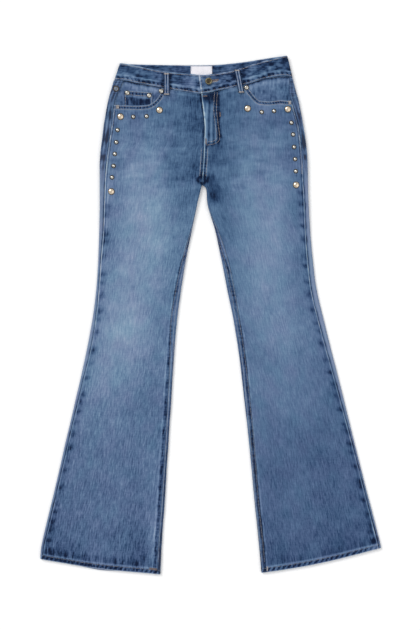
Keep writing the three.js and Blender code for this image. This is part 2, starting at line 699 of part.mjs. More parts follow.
BIG_STUDS.forEach(({ side, x, y }, i) => {
  add(`stud_big_${i + 1}`, bigStud(), 'brass', { x, y, z: frontHeight(side, x, y) + GAP, tip: upright });
});
SMALL_STUDS.forEach(({ side, x, y }, i) => {
  add(`stud_small_${i + 1}`, smallStud(), 'nickel', { x, y, z: frontHeight(side, x, y) + GAP, tip: upright });
});
add('rivet_coin_left', rivet(), 'nickel', { x: -176.6, y: 471.4, z: facingFace + GAP, tip: upright });
add('rivet_coin_right', rivet(), 'nickel', { x: -130.4, y: 465.8, z: facingFace + GAP, tip: upright });
add('rivet_pocket_left', rivet(), 'brass', { x: -104.6, y: 474.8, z: panelFace + GAP, tip: upright });
add('rivet_pocket_right', rivet(), 'brass', { x: 76, y: 482.4, z: panelFace + GAP, tip: upright });
add('rivet_side', turned([[0, 0], [RING_RIVET.radius, 0], [RING_RIVET.radius, 1], [3, 1.6], [0, 1.2]]), 'brass', {
  x: RING_RIVET.x, y: RING_RIVET.y, z: panelFace + GAP, tip: upright,
});
add('button', turned([
  [0, 0], [BUTTON.shank, 0], [BUTTON.shank, 1.4], [BUTTON.radius, 1.8], [BUTTON.radius, 3.2],
  [6.6, 4.2], [5.4, 3.6], [0, 3.6],
], 20), 'brass', {
  x: BUTTON.x, y: BUTTON.y, z: bandFace + BAND_END.lift + GAP, tip: upright,
});

export default garment;
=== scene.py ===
# Bootcut jeans laid flat, front up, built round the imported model.
# The garment's own tables and functions are in millimetres; meshes are made in metres.
import bpy
import math
import numpy as np
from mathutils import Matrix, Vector
from mathutils.bvhtree import BVHTree


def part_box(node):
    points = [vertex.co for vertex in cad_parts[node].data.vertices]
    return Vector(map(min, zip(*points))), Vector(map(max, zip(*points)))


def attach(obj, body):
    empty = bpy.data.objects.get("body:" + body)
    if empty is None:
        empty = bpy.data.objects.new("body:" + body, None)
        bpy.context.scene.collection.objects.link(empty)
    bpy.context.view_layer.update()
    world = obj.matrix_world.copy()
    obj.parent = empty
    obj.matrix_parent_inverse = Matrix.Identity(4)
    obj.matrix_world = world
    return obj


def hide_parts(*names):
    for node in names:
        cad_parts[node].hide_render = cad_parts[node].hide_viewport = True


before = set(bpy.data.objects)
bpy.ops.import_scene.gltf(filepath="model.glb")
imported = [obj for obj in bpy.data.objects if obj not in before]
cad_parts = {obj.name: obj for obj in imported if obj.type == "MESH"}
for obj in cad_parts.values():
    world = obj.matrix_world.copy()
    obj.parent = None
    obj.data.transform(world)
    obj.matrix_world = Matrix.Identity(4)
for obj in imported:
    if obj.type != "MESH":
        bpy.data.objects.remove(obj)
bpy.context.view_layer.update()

print("model loaded:", len(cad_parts), "parts")

scene = bpy.context.scene
milli = 0.001


# A named object in the scene
def linked(name, data):
    item = bpy.data.objects.new(name, data)
    scene.collection.objects.link(item)
    return item


# Camera straight above the garment
cameraView = {"lens": 85.0, "sensor": 36.0, "x": -0.0013, "y": 0.0005, "height": 3.159, "far": 50.0}
cameraData = bpy.data.cameras.new("camera")
cameraData.lens = cameraView["lens"]
cameraData.sensor_width = cameraView["sensor"]
cameraData.clip_end = cameraView["far"]
camera = linked("camera", cameraData)
camera.location = (cameraView["x"], cameraView["y"], cameraView["height"])
scene.camera = camera
print("camera made")


# Eased step from 0 at low to 1 at high
def smooth(low, high, value):
    t = np.clip((np.asarray(value, float) - low) / (high - low), 0, 1)
    return t * t * (3 - 2 * t)


# Bump of height 1 at zero
def bell(value, width):
    return np.exp(-(np.asarray(value, float) / width) ** 2)


def blend(first, second, share):
    return first + (second - first) * share


# The least of several distances, place by place
def nearest(*distances):
    least = distances[0]
    for distance in distances[1:]:
        least = np.minimum(least, distance)
    return least


# Smooth curve through knots, held level beyond its ends
def curveThrough(knotsAt, knotValues):
    order = np.argsort(knotsAt)
    at = np.array(knotsAt, float)[order]
    values = np.array(knotValues, float)[order]
    number = np.arange(len(at))
    before = np.maximum(number - 1, 0)
    after = np.minimum(number + 1, len(at) - 1)
    slope = (values[after] - values[before]) / (at[after] - at[before])

    def curve(place):
        place = np.asarray(place, float)
        i = np.clip(np.searchsorted(at, place, side="right") - 1, 0, len(at) - 2)
        span = at[i + 1] - at[i]
        t = np.clip((place - at[i]) / span, 0, 1)
        rise = values[i + 1] - values[i]
        pull = (1 - t) * (slope[i] * span - rise) + t * (rise - slope[i + 1] * span)
        return values[i] + rise * t + t * (1 - t) * pull

    return curve


# Uneven soft noise from -1 to 1 on a lattice of the given size
def softNoise(x, y, size, seed):
    grid = np.random.default_rng(seed).random((251, 251)) * 2 - 1
    u = np.asarray(x, float) / size
    v = np.asarray(y, float) / size
    i = np.floor(u).astype(int)
    j = np.floor(v).astype(int)
    s = smooth(0, 1, u - i)
    t = smooth(0, 1, v - j)

    def corner(a, b):
        return grid[(i + a) % 251, (j + b) % 251]

    return blend(blend(corner(0, 0), corner(1, 0), s), blend(corner(0, 1), corner(1, 1), s), t)


def lineNoise(along, size, seed):
    return softNoise(along, along * 0, size, seed)


# Bars across a line, from 0 to 1, at a period that a noise makes uneven
def barsAlong(along, period, waver):
    return 0.5 + 0.5 * np.sin(2 * math.pi * along / period + waver)


# Distance from each place to a run of points, and how far along the run that is
def nearLine(x, y, line):
    best = np.full(np.shape(x), 1e9)
    along = np.zeros(np.shape(x))
    run = 0.0
    for (ax, ay), (bx, by) in zip(line[:-1], line[1:]):
        dx = bx - ax
        dy = by - ay
        length = math.hypot(dx, dy)
        t = np.clip(((x - ax) * dx + (y - ay) * dy) / length ** 2, 0, 1)
        away = np.hypot(x - ax - t * dx, y - ay - t * dy)
        closer = away < best
        best = np.where(closer, away, best)
        along = np.where(closer, run + t * length, along)
        run += length
    return best, along


# Points spaced evenly on a smooth line through the corners
def evenly(corners, step):
    corners = np.array(corners, float)
    lengths = np.hypot(*np.diff(corners, axis=0).T)
    at = np.concatenate([[0], np.cumsum(lengths)])
    count = max(2, int(at[-1] / step) + 1)
    places = np.linspace(0, at[-1], count)
    if len(corners) > 2:
        return np.stack([curveThrough(at, side)(places) for side in corners.T], axis=1)
    return np.stack([np.interp(places, at, side) for side in corners.T], axis=1)


# A line moved sideways by a distance
def beside(points, distance):
    points = np.array(points, float)
    run = np.gradient(points, axis=0)
    run /= np.maximum(np.hypot(run[:, 0], run[:, 1]), 1e-9)[:, None]
    return points + np.stack([-run[:, 1], run[:, 0]], axis=1) * distance


# The garment's form: thickness of its cloth, its main levels and how high it stands
cloth = {"layer": 1.2, "doubled": 2.4, "gap": 0.3}
levels = {"waist": 470.0, "yokeSide": 461.0, "hip": 400.0, "crotch": 276.0, "crotchX": -17.6,
          "slantStart": -330.0, "hem": -535.0, "hemDepth": 11.0}
gap = cloth["gap"]
hemTop = levels["hem"] + levels["hemDepth"]
heights = {"seatBase": 1.5, "seat": 6.1, "leg": 5.2, "hem": 6.2, "bandBase": 1.9, "band": 6.8}

# Folded outer edge of each side, and how far in from it the outseam lies
outerEdge = {
    "y": [550, 535, 500, 477, 456, 414, 371, 329, 287, 244,
          181, 117, 53, -10, -74, -137, -265, -392, -487, -520],
    "left": [-190, -194.6, -204.8, -211.4, -217.3, -224.9, -230.9, -234.9, -235.3, -235.3,
             -236.2, -238.5, -243, -251.2, -262.9, -276.7, -306.6, -336, -358.6, -361.9],
    "right": [158.4, 166, 174.7, 180.6, 186.3, 194.6, 201.4, 205.4, 206.7, 207.5,
              211.2, 216.9, 225.1, 240.2, 255.7, 272, 303.8, 336, 360.4, 361.9],
    "leftSeam": [23, 23, 22, 17.5, 15.8, 18.5, 18.5, 16.8, 13.3, 12,
                 10.2, 7.2, 7.2, 8.6, 9.6, 8.2, 7.5, 7.4, 7.4, 7.4],
    "rightSeam": [8, 8, 9.5, 16, 17, 13, 12.5, 12.7, 12.2, 10.4,
                  11.2, 12.2, 12.8, 13.2, 11.4, 10, 7.2, 6.6, 6.6, 6.6],
}

# Folded inner edge of each leg, and the inseam's distance round from it
innerEdge = {
    "y": [276, 272, 266, 256, 244, 230, 212, 181, 117, 53, -10, -74, -137, -265, -392, -487, -550],
    "left": [-17.6, -19.3, -20.8, -23.2, -26.3, -29.4, -33.2, -39.6, -52.2,
             -62.5, -71, -76.5, -80.6, -89, -97.1, -103.5, -106.6],
    "right": [-17.6, -12, -9.4, -8.5, -7.6, -5.4, -0.3, 9.2, 23,
              35.4, 48.3, 58.9, 66.6, 80.6, 92.9, 102.4, 108],
    "leftSeam": [0, 0, 0, 0, 0, 0.5, 1, 4, 10, 14, 15.2, 11.6, 9.6, 7.9, 7.8, 9, 9.6],
    "rightSeam": [0, 0, 0, 0, 1, 2.4, 4, 8.5, 16, 17.5, 15, 14.6, 14.4, 13.6, 11.2, 11.8, 12.1],
}

# Waistband edges along the front and along the back
frontWaist = {
    "x": [-205, -180, -150, -118, -85, -40, -15, 15, 46, 76, 103, 131, 158, 175],
    "top": [536, 532.6, 526.8, 520, 515, 511.2, 508.6, 512.3, 518, 527.6, 536, 543, 549.5, 549.5],
    "seam": [499, 497.2, 490.6, 485.5, 478.6, 471.6, 469.8, 475.8, 482.4, 489.4, 497.6, 504.6, 507.5, 503],
}
backWaist = {
    "x": [-205, -170, -85, 4, 71, 110, 139, 158, 175],
    "top": [535.6, 532.5, 530.4, 530.4, 536.8, 543, 547.4, 549.5, 549.5],
    "seam": [499, 496, 492.5, 492, 497, 501, 504, 504.6, 503],
}

# Lower edges of the two legs
hemLine = {
    "left": {"x": [-362, -314, -263, -212, -162, -106], "y": [-517, -525.3, -533.8, -540.2, -544.6, -549.5]},
    "right": {"x": [107, 152, 203, 254, 305, 362], "y": [-546.5, -540.2, -531.7, -521.1, -508.4, -493.5]},
}
backHemPeek = {"x": -235.0, "reach": 55.0, "drop": 3.0}  # the back hem shows below the left front

# Pocket mouths, from the outseam to the waist seam
pocketMouth = {
    "left": [(-203.5, 445.6), (-180, 445), (-156, 444.4), (-142, 444.8), (-131.4, 446.4),
             (-122, 451.5), (-114.5, 458.6), (-108.5, 467.5), (-104, 482.4)],
    "right": [(168, 454.4), (146, 456.2), (128, 454), (112, 454.2), (104, 455.4),
              (97, 460.8), (89, 469.8), (81.5, 480), (76, 489.2)],
}

# Centre front: the fly's edge down to its foot, then the centre seam to the crotch
flyEdgeLine = {
    "y": [475, 452, 425, 395, 360, 330, 300, 276],
    "x": [-20, -17.6, -13.4, -12.4, -13.6, -14.8, -17, -17.6],
}
fly = {"foot": 350.0, "lift": 1.5, "underlap": 8.0, "ramp": 26.0}
bandEnd = {"over": (-25.5, -20.2), "under": 12.0, "lift": 2.7, "ramp": 46.0}
yokeLine = {"x": [-236, -214, -17, 184, 206], "y": [461, 461, 427, 465, 465]}
centreBack = -17.0

# Back pockets: half their width, how much it narrows, and their depth at the sides and the point
backPocketSettings = {"half": 74.0, "taper": 8.0, "side": 128.0, "point": 158.0}
backPocketPlaces = {"left": (-122.0, 428.0), "right": (92.0, 430.0)}

sideSign = {"left": -1, "right": 1}
otherSide = {"left": "right", "right": "left"}
outline = {}
for side in ("left", "right"):
    outline[side] = {
        "outer": curveThrough(outerEdge["y"], outerEdge[side]),
        "outseam": curveThrough(outerEdge["y"], outerEdge[side + "Seam"]),
        "inner": curveThrough(innerEdge["y"], innerEdge[side]),
        "inseam": curveThrough(innerEdge["y"], innerEdge[side + "Seam"]),
        "hem": curveThrough(hemLine[side]["x"], hemLine[side]["y"]),
    }
frontTop = curveThrough(frontWaist["x"], frontWaist["top"])
frontSeam = curveThrough(frontWaist["x"], frontWaist["seam"])
backTop = curveThrough(backWaist["x"], backWaist["top"])
backSeam = curveThrough(backWaist["x"], backWaist["seam"])
flyEdge = curveThrough(flyEdgeLine["y"], flyEdgeLine["x"])


def yokeSeam(x):
    return np.interp(x, yokeLine["x"], yokeLine["y"])


def pocketOutline(side, inset=0.0):
    centreX, topY = backPocketPlaces[side]
    size = backPocketSettings
    half = size["half"] - inset
    low = half - size["taper"]
    sideFoot = topY - size["side"] + inset * 0.3
    pointFoot = topY - size["point"] + inset * 1.1
    return [(centreX - half, topY - 2), (centreX - low, sideFoot), (centreX, pointFoot),
            (centreX + low, sideFoot), (centreX + half, topY - 2)]


def baseAt(y):
    return heights["seatBase"] * smooth(150, 240, y)


def heightAt(y):
    hemRise = (heights["hem"] - heights["leg"]) * (1 - smooth(levels["hem"] + 20, levels["hem"] + 90, y))
    return blend(heights["leg"], heights["seat"], smooth(150, 240, y)) + hemRise


def flyLift(x, y):
    across = 1 - smooth(fly["ramp"] * 0.35, fly["ramp"], x - flyEdge(y))
    return fly["lift"] * across * smooth(fly["foot"] - 16, fly["foot"] - 2, y)


# The flattened tube of cloth at each level, with its outer fold on the right
# Near a slanted hem its inner fold lies at another level than its outer one
def tubeAt(side, y, band=False, innerY=None):
    y = np.asarray(y, float)
    sign = sideSign[side]
    innerY = y if innerY is None else innerY
    farSide = outline[otherSide[side]]["outer"](y)
    inner = np.where(y <= levels["crotch"] - 0.5, outline[side]["inner"](innerY), farSide)
    tube = {"side": side, "inner": sign * inner, "outer": sign * outline[side]["outer"](y)}
    tube["base"] = heights["bandBase"] + y * 0 if band else baseAt(y)
    tube["radius"] = heights["band"] / 2 + y * 0 if band else heightAt(y) / 2
    tube["quarter"] = math.pi * tube["radius"] / 2
    tube["half"] = tube["outer"] - tube["inner"] - 2 * tube["radius"] + 2 * tube["quarter"]
    return tube


# Place on a tube: the arc runs from its inner fold, over the top, round the outer fold and back
def onTube(tube, arc, depth=0.0):
    half, radius, quarter = tube["half"], tube["radius"], tube["quarter"]
    turned = np.mod(arc, 2 * half)
    over = turned <= half
    along = np.where(over, turned, 2 * half - turned)
    reach = radius - depth
    nearInner = along < quarter
    nearOuter = along > half - quarter
    angle = np.where(nearInner, along / radius, np.where(nearOuter, (half - along) / radius, math.pi / 2))
    out = np.cos(angle)
    flatAcross = tube["inner"] + radius + along - quarter
    across = np.where(nearInner, tube["inner"] + radius - reach * out,
                      np.where(nearOuter, tube["outer"] - radius + reach * out, flatAcross))
    lift = reach * np.sin(angle)
    z = tube["base"] + radius + np.where(over, lift, -lift)
    return {
        "x": sideSign[tube["side"]] * across,
        "z": z,
        "over": over,
        "flat": ~(nearInner | nearOuter),
        "share": (z - tube["base"]) / (2 * radius),
    }


def arcOfTop(tube, x):
    return tube["quarter"] + sideSign[tube["side"]] * x - tube["inner"] - tube["radius"]


def arcOfUnder(tube, x):
    return 2 * tube["half"] - arcOfTop(tube, x)


def outseamArc(tube, y):
    return tube["half"] - outline[tube["side"]]["outseam"](y)


# Height up the leg of a row near its slanted hem
def slanted(side, level, x, over):
    share = 1 - smooth(levels["hem"], levels["slantStart"], level)
    peek = 0.0
    if side == "left":
        reach = 1 - smooth(0, backHemPeek["reach"], np.abs(x - backHemPeek["x"]))
        peek = np.where(over, 0.0, backHemPeek["drop"] * reach)
    return level + (outline[side]["hem"](x) - levels["hem"] - peek) * share


def edgeLevel(side, level):
    return slanted(side, level, outline[side]["outer"](level), True)


def rowTube(side, level):
    innerLevel = slanted(side, level, outline[side]["inner"](level), True)
    return tubeAt(side, edgeLevel(side, level), innerY=innerLevel)


def centreFront(side, y):
    under = fly["underlap"] * smooth(fly["foot"], fly["foot"] + 15, y) if side == "left" else 0.0
    return flyEdge(y) + under + sideSign[side] * gap / 2


# Soft folds: ridges (+) and troughs (-), with the lightening (+) or darkening (-) that wear gave them; the
# darkening of the deep trough beside the crotch is painted shade
frontFolds = {
    "left": [
        (-26, 470, -30, 300, 34, 0.0, -0.12), (-114, -350, -122, -460, 24, 0.0, 0.04),
        (-125, -480, -122, -535, 22, 0.0, 0.10), (-124, -300, -126, -480, 34, 0.0, 0.08),
        (-112, -440, -118, -530, 26, 0.0, 0.16), (-232, -496, -150, -516, 30, 0.0, 0.02),
        (-219, 320, -221, 190, 18, 0.0, 0.14), (-29, 302, -37, 268, 7, 0.6, 0.14),
        (-38, 296, -26, 284, 9, 0.8, -0.05), (-62, 300, -150, 330, 18, 0.7, 0.05),
        (-120, -20, -220, -50, 24, 0.7, 0.02), (-30, 330, -92, 352, 12, 0.5, 0.04),
        (-34, 312, -90, 322, 9, -0.6, -0.05), (-44, 284, -118, 296, 10, -0.5, -0.04),
        (-40, 372, -96, 392, 11, 0.5, 0.04), (-52, 262, -110, 262, 12, 0.6, 0.03),
        (-110, 12, -180, 0, 20, -0.5, -0.02), (-132, -78, -214, -96, 22, 0.6, 0.02),
        (-150, -250, -260, -300, 34, 0.8, 0.00), (-180, 200, -100, 130, 40, 0.8, 0.00),
    ],
    "right": [
        (8, 470, 12, 330, 30, 0.0, -0.11), (196, 410, 206, 270, 16, 0.0, -0.12),
        (84, -120, 112, -400, 36, 0.0, 0.09), (110, 400, 118, 290, 36, 0.0, -0.06),
        (42, 410, 46, 300, 28, 0.0, -0.05), (125, -470, 128, -540, 24, 0.0, 0.05),
        (20, 330, 32, 180, 30, 0.0, -0.05), (150, 330, 172, 220, 34, 0.0, -0.05),
        # the second fold here is the deep trough beside the crotch; its darkening is painted shade
        (2, 450, 6, 375, 14, 1.1, 0.00), (0, 284, 9, 250, 22, -1.2, -0.34),
        (36, 312, 120, 334, 18, 0.7, 0.05), (90, -60, 190, -30, 24, 0.7, 0.02),
        (30, 340, 84, 362, 12, 0.5, 0.04), (26, 322, 78, 336, 9, -0.6, -0.05),
        (38, 290, 112, 300, 10, -0.5, -0.04), (34, 372, 88, 388, 11, 0.5, 0.03),
        (42, 262, 100, 256, 12, 0.6, 0.03), (78, -8, 160, 4, 20, 0.6, 0.02),
        (104, -100, 196, -84, 22, -0.5, -0.02), (130, -280, 250, -240, 34, 0.8, 0.00),
        (60, 140, 150, 190, 40, 0.8, 0.00),
    ],
}
backFolds = {
    "left": [
        (-60, 330, -170, 300, 18, -0.9, -0.06), (-50, 262, -160, 240, 20, -0.8, -0.05),
        (-90, 20, -230, 0, 22, -0.9, -0.05), (-100, -20, -220, -44, 20, -0.8, -0.05),
        (-160, -200, -270, -240, 30, -0.7, 0.0),
    ],
    "right": [
        (40, 332, 150, 306, 18, -0.9, -0.06), (30, 262, 130, 244, 20, -0.8, -0.05),
        (70, 16, 210, 4, 22, -0.9, -0.05), (90, -40, 220, -20, 20, -0.8, -0.05),
        (140, -220, 260, -190, 30, -0.7, 0.0),
    ],
}

# How light the cloth has washed: the middle of each leg's fade, its lightness and that of its sides
fadeLevels = [520, 435, 350, 265, 181, 96, 32, -31, -95, -180, -265, -349, -434, -519]
frontFade = {
    "left": {
        "x": [-149, -149, -149, -143, -138, -153, -170, -181, -196, -223, -234, -238, -234, -234],
        "core": [0.42, 0.52, 0.70, 0.83, 0.88, 0.84, 0.86, 0.88, 0.80, 0.66, 0.56, 0.53, 0.49, 0.40],
        "side": [0.40, 0.42, 0.45, 0.45, 0.58, 0.60, 0.62, 0.62, 0.60, 0.54, 0.50, 0.47, 0.42, 0.30],
    },
    "right": {
        "x": [110, 110, 110, 114, 114, 120, 122, 137, 152, 165, 169, 190, 201, 211],
        "core": [0.42, 0.52, 0.66, 0.75, 0.78, 0.77, 0.74, 0.71, 0.63, 0.56, 0.42, 0.41, 0.40, 0.33],
        "side": [0.40, 0.42, 0.43, 0.47, 0.52, 0.52, 0.55, 0.55, 0.50, 0.45, 0.40, 0.38, 0.34, 0.25],
    },
}
backFade = {
    "left": {
        "x": [-120, -120, -122, -124, -132, -146, -154, -162, -172, -190, -206, -216, -226, -234],
        "core": [0.50, 0.60, 0.74, 0.70, 0.62, 0.56, 0.54, 0.52, 0.50, 0.50, 0.48, 0.46, 0.42, 0.36],
        "side": [0.42, 0.44, 0.46, 0.44, 0.44, 0.44, 0.44, 0.44, 0.44, 0.42, 0.40, 0.38, 0.34, 0.28],
    },
    "right": {
        "x": [90, 90, 92, 96, 108, 120, 130, 140, 152, 170, 186, 204, 220, 236],
        "core": [0.50, 0.60, 0.72, 0.68, 0.60, 0.55, 0.53, 0.51, 0.50, 0.48, 0.44, 0.42, 0.38, 0.32],
        "side": [0.42, 0.44, 0.46, 0.44, 0.44, 0.43, 0.43, 0.43, 0.42, 0.40, 0.38, 0.36, 0.32, 0.26],
    },
}
fadeWidth = 60.0

# Pucker spots down each outseam: where the first lies, and the steps from one to the next
outseamPuckers = {
    "left": {"first": 229.8, "steps": [17, 33, 9, 15, 30, 39, 18, 27, 33, 18, 27, 38, 28, 31, 35, 17,
                                       19, 23, 23, 32, 26, 21, 35, 36, 17, 19, 21, 20]},
    "right": {"first": 260.1, "steps": [25, 21, 25, 29, 36, 20, 34, 27, 32, 29, 16, 27, 33, 28, 25, 24,
                                        30, 30, 14, 28, 18, 30, 32, 12, 27, 30, 23, 14]},
}


def foldsAt(folds, side, x, y):
    relief = np.zeros(np.shape(x))
    tint = np.zeros(np.shape(x))
    for x1, y1, x2, y2, width, height, lightness in folds[side]:
        away, _ = nearLine(x, y, [(x1, y1), (x2, y2)])
        share = np.where(away < width, np.cos(np.minimum(away / width, 1) * math.pi / 2) ** 2, 0)
        relief += height * share
        tint += lightness * share
    return relief, tint


def fadeAt(table, side, x, y):
    own = table[side]
    middle, core, edge = (curveThrough(fadeLevels, own[key])(y) for key in ("x", "core", "side"))
    uneven = 0.03 * softNoise(x, y, 38, 11) + 0.025 * softNoise(x * 1.6, y, 16, 12)
    return edge + (core - edge) * np.exp(-np.abs((x - middle) / fadeWidth) ** 3) + uneven


# Uneven puckers beside a sewn line: 0 to 1, tallest at the line
def puckers(away, along, seed, size=8.0, reach=7.0):
    wave = 0.6 * lineNoise(along, size, seed) + 0.4 * softNoise(along, away, size * 0.6, seed + 1)
    return np.clip(wave + 0.15, 0, 1) * np.exp(-(away / reach) ** 2)


def puckerSpots(side, y, away):
    table = outseamPuckers[side]
    places = table["first"] - np.concatenate([[0], np.cumsum(table["steps"])])
    total = np.zeros(np.shape(y))
    for number, place in enumerate(places):
        size = 0.92 + 0.22 * math.sin(number * 2.3)
        total += size * bell(y - place - 0.12 * (away - 6), 6.0 + 1.4 * math.sin(number * 1.7))
    return total


# How wide the felled inseam shows, measured from the leg's inner fold
inseamZone = {
    "y": [276, 212, 137, 106, 53, -74, -200, -265, -434, -550],
    "left": [0, 3, 9, 14, 16.5, 17, 17, 17, 17.5, 18.5],
    "right": [0, 4, 10, 14.5, 16.5, 17, 15, 13.5, 14, 14.5],
}


# Lightness and relief of the felled inseam: a worn border, a darker ridge barred by puckers and a worn line
def inseamLook(side, y, foldAway):
    width = curveThrough(inseamZone["y"], inseamZone[side])(y)
    there = smooth(1.5, 7, width)
    bars = barsAlong(y, 7.4, 4.5 * lineNoise(y, 13, 66))
    uneven = 0.75 + 0.5 * softNoise(y, foldAway, 19, 67)
    border = wornEdge(foldAway - width + 1.0, y, 0.36, 44, 1.7)
    thigh = smooth(-160, 20, y)
    ridge = bell(foldAway - width + 5.8, 4.2 + 1.8 * thigh) * (0.36 + 0.30 * bars - 0.06 * thigh) * uneven
    line = wornEdge(foldAway - width + 11.6, y, 0.42, 64, 1.2) * (1 - 0.6 * thigh)
    groove = (0.30 + 0.14 * bars) * bell(foldAway - width + 15.2, 2.6) * (1 - 0.6 * thigh)
    height = 0.5 * smooth(0.5, 3, foldAway) * (1 - smooth(width - 3.0, width, foldAway)) - 0.2 * bars
    return there * (border - ridge + line - groove), there * height * (foldAway < width + 2)


# Worn light line along a folded edge
def wornEdge(away, along, strength, seed, width=1.3):
    uneven = 0.75 + 0.35 * lineNoise(along, 7, seed)
    return strength * uneven * bell(away, width)


farAway = 60.0  # further from a seam than its marks reach


# How much each layer draws in towards the other at a rounded edge
def roundedEdge(away, wall):
    radius = wall / 2
    t = np.clip(away / radius, 0, 1)
    return radius * (1 - np.sqrt(np.clip(1 - (1 - t) ** 2, 0, 1))) * 0.82


print("materials")


# Colour as it shows under the studio light, made the surface's own colour
def linear(red, green, blue, light=1.0):
    channels = [c / 255 for c in (red, green, blue)]
    own = [c / 12.92 if c <= 0.04045 else ((c + 0.055) / 1.055) ** 2.4 for c in channels]
    return tuple(c / light for c in own) + (1.0,)


def shaded(colour, share):
    return tuple(min(1, c * share) for c in linear(*colour)[:3]) + (1.0,)


def newMaterial(name):
    material = bpy.data.materials.new(name)
    material.use_nodes = True
    return material, material.node_tree, material.node_tree.nodes["Principled BSDF"]


def addNode(tree, kind, inputs=None, **settings):
    node = tree.nodes.new(kind)
    for key, value in settings.items():
        setattr(node, key, value)
    for key, value in (inputs or {}).items():
        if isinstance(value, bpy.types.NodeSocket):
            tree.links.new(value, node.inputs[key])
        else:
            node.inputs[key].default_value = value
    return node


def mathNode(tree, operation, *values):
    return addNode(tree, "ShaderNodeMath", dict(enumerate(values)), operation=operation).outputs[0]


def noiseNode(tree, place, scale, detail, **more):
    inputs = {"Vector": place, "Scale": scale, "Detail": detail, **more}
    return addNode(tree, "ShaderNodeTexNoise", inputs).outputs["Fac"]


# A number kept on the points of a mesh
def pointValue(tree, name):
    return addNode(tree, "ShaderNodeAttribute", attribute_name=name).outputs["Fac"]


# Sockets 6 and 7 of a Mix node are its two colours
def mixColours(tree, share, first, second, **settings):
    inputs = {0: share, 6: first, 7: second}
    return addNode(tree, "ShaderNodeMix", inputs, data_type="RGBA", **settings).outputs[2]


def twoTone(tree, pattern, low, lowColour, high, highColour):
    ramp = addNode(tree, "ShaderNodeValToRGB", {"Fac": pattern})
    for stop, place, colour in zip(ramp.color_ramp.elements, (low, high), (lowColour, highColour)):
        stop.position = place
        stop.color = colour
    return ramp.outputs["Color"]


# The colour, the fine relief and the plain values of a surface
def finishSurface(tree, shader, colour, height, bump, values):
    strength, distance = bump
    relief = addNode(tree, "ShaderNodeBump", {"Height": height, "Strength": strength, "Distance": distance})
    tree.links.new(colour, shader.inputs["Base Color"])
    tree.links.new(relief.outputs["Normal"], shader.inputs["Normal"])
    for name, value in values.items():
        shader.inputs[name].default_value = value


denimLook = {
    # lightness of the wash, from raw indigo at 0 to bare worn edges at 1.25, and its colour
    "wash": [(0.0, (9, 26, 55)), (0.2, (42, 67, 103)), (0.4, (73, 98, 133)),
             (0.55, (90, 115, 149)), (0.7, (107, 131, 163)), (0.85, (124, 147, 176)),
             (1.0, (143, 163, 188)), (1.25, (184, 196, 210))],
    "light": 1.15,
    # the indigo leans to violet here and to azure there
    "violet": (1.06, 0.985, 1.03, 1.0),
    "azure": (0.90, 1.01, 1.01, 1.0),
    "inside": (134, 146, 172),
    # streaks to a metre across and along the grain, their detail and their strength
    "slub": (210.0, 16.0, 2.0, 0.20),
    "middle": (380.0, 46.0, 1.0, 0.62),
    "fine": (760.0, 130.0, 1.0, 0.42),
    "weft": (110.0, 360.0, 1.0, 0.20),
    "blotch": (34.0, 16.0, 3.0, 0.10),
    "lean": (30.0, 20.0, 1.0, 2.2),
    # the less washed the cloth, the plainer its threads show
    "plainness": (-0.66, 1.38),
    # diagonal ribs, one about every millimetre
    "twill": {"angle": 62, "scale": 0.32, "distortion": 0.7, "strength": 0.10},
    "bump": (0.25, 0.0006),
    "surface": {"Roughness": 0.92, "Specular IOR Level": 0.12, "Sheen Weight": 0.05, "Sheen Roughness": 0.5},
}
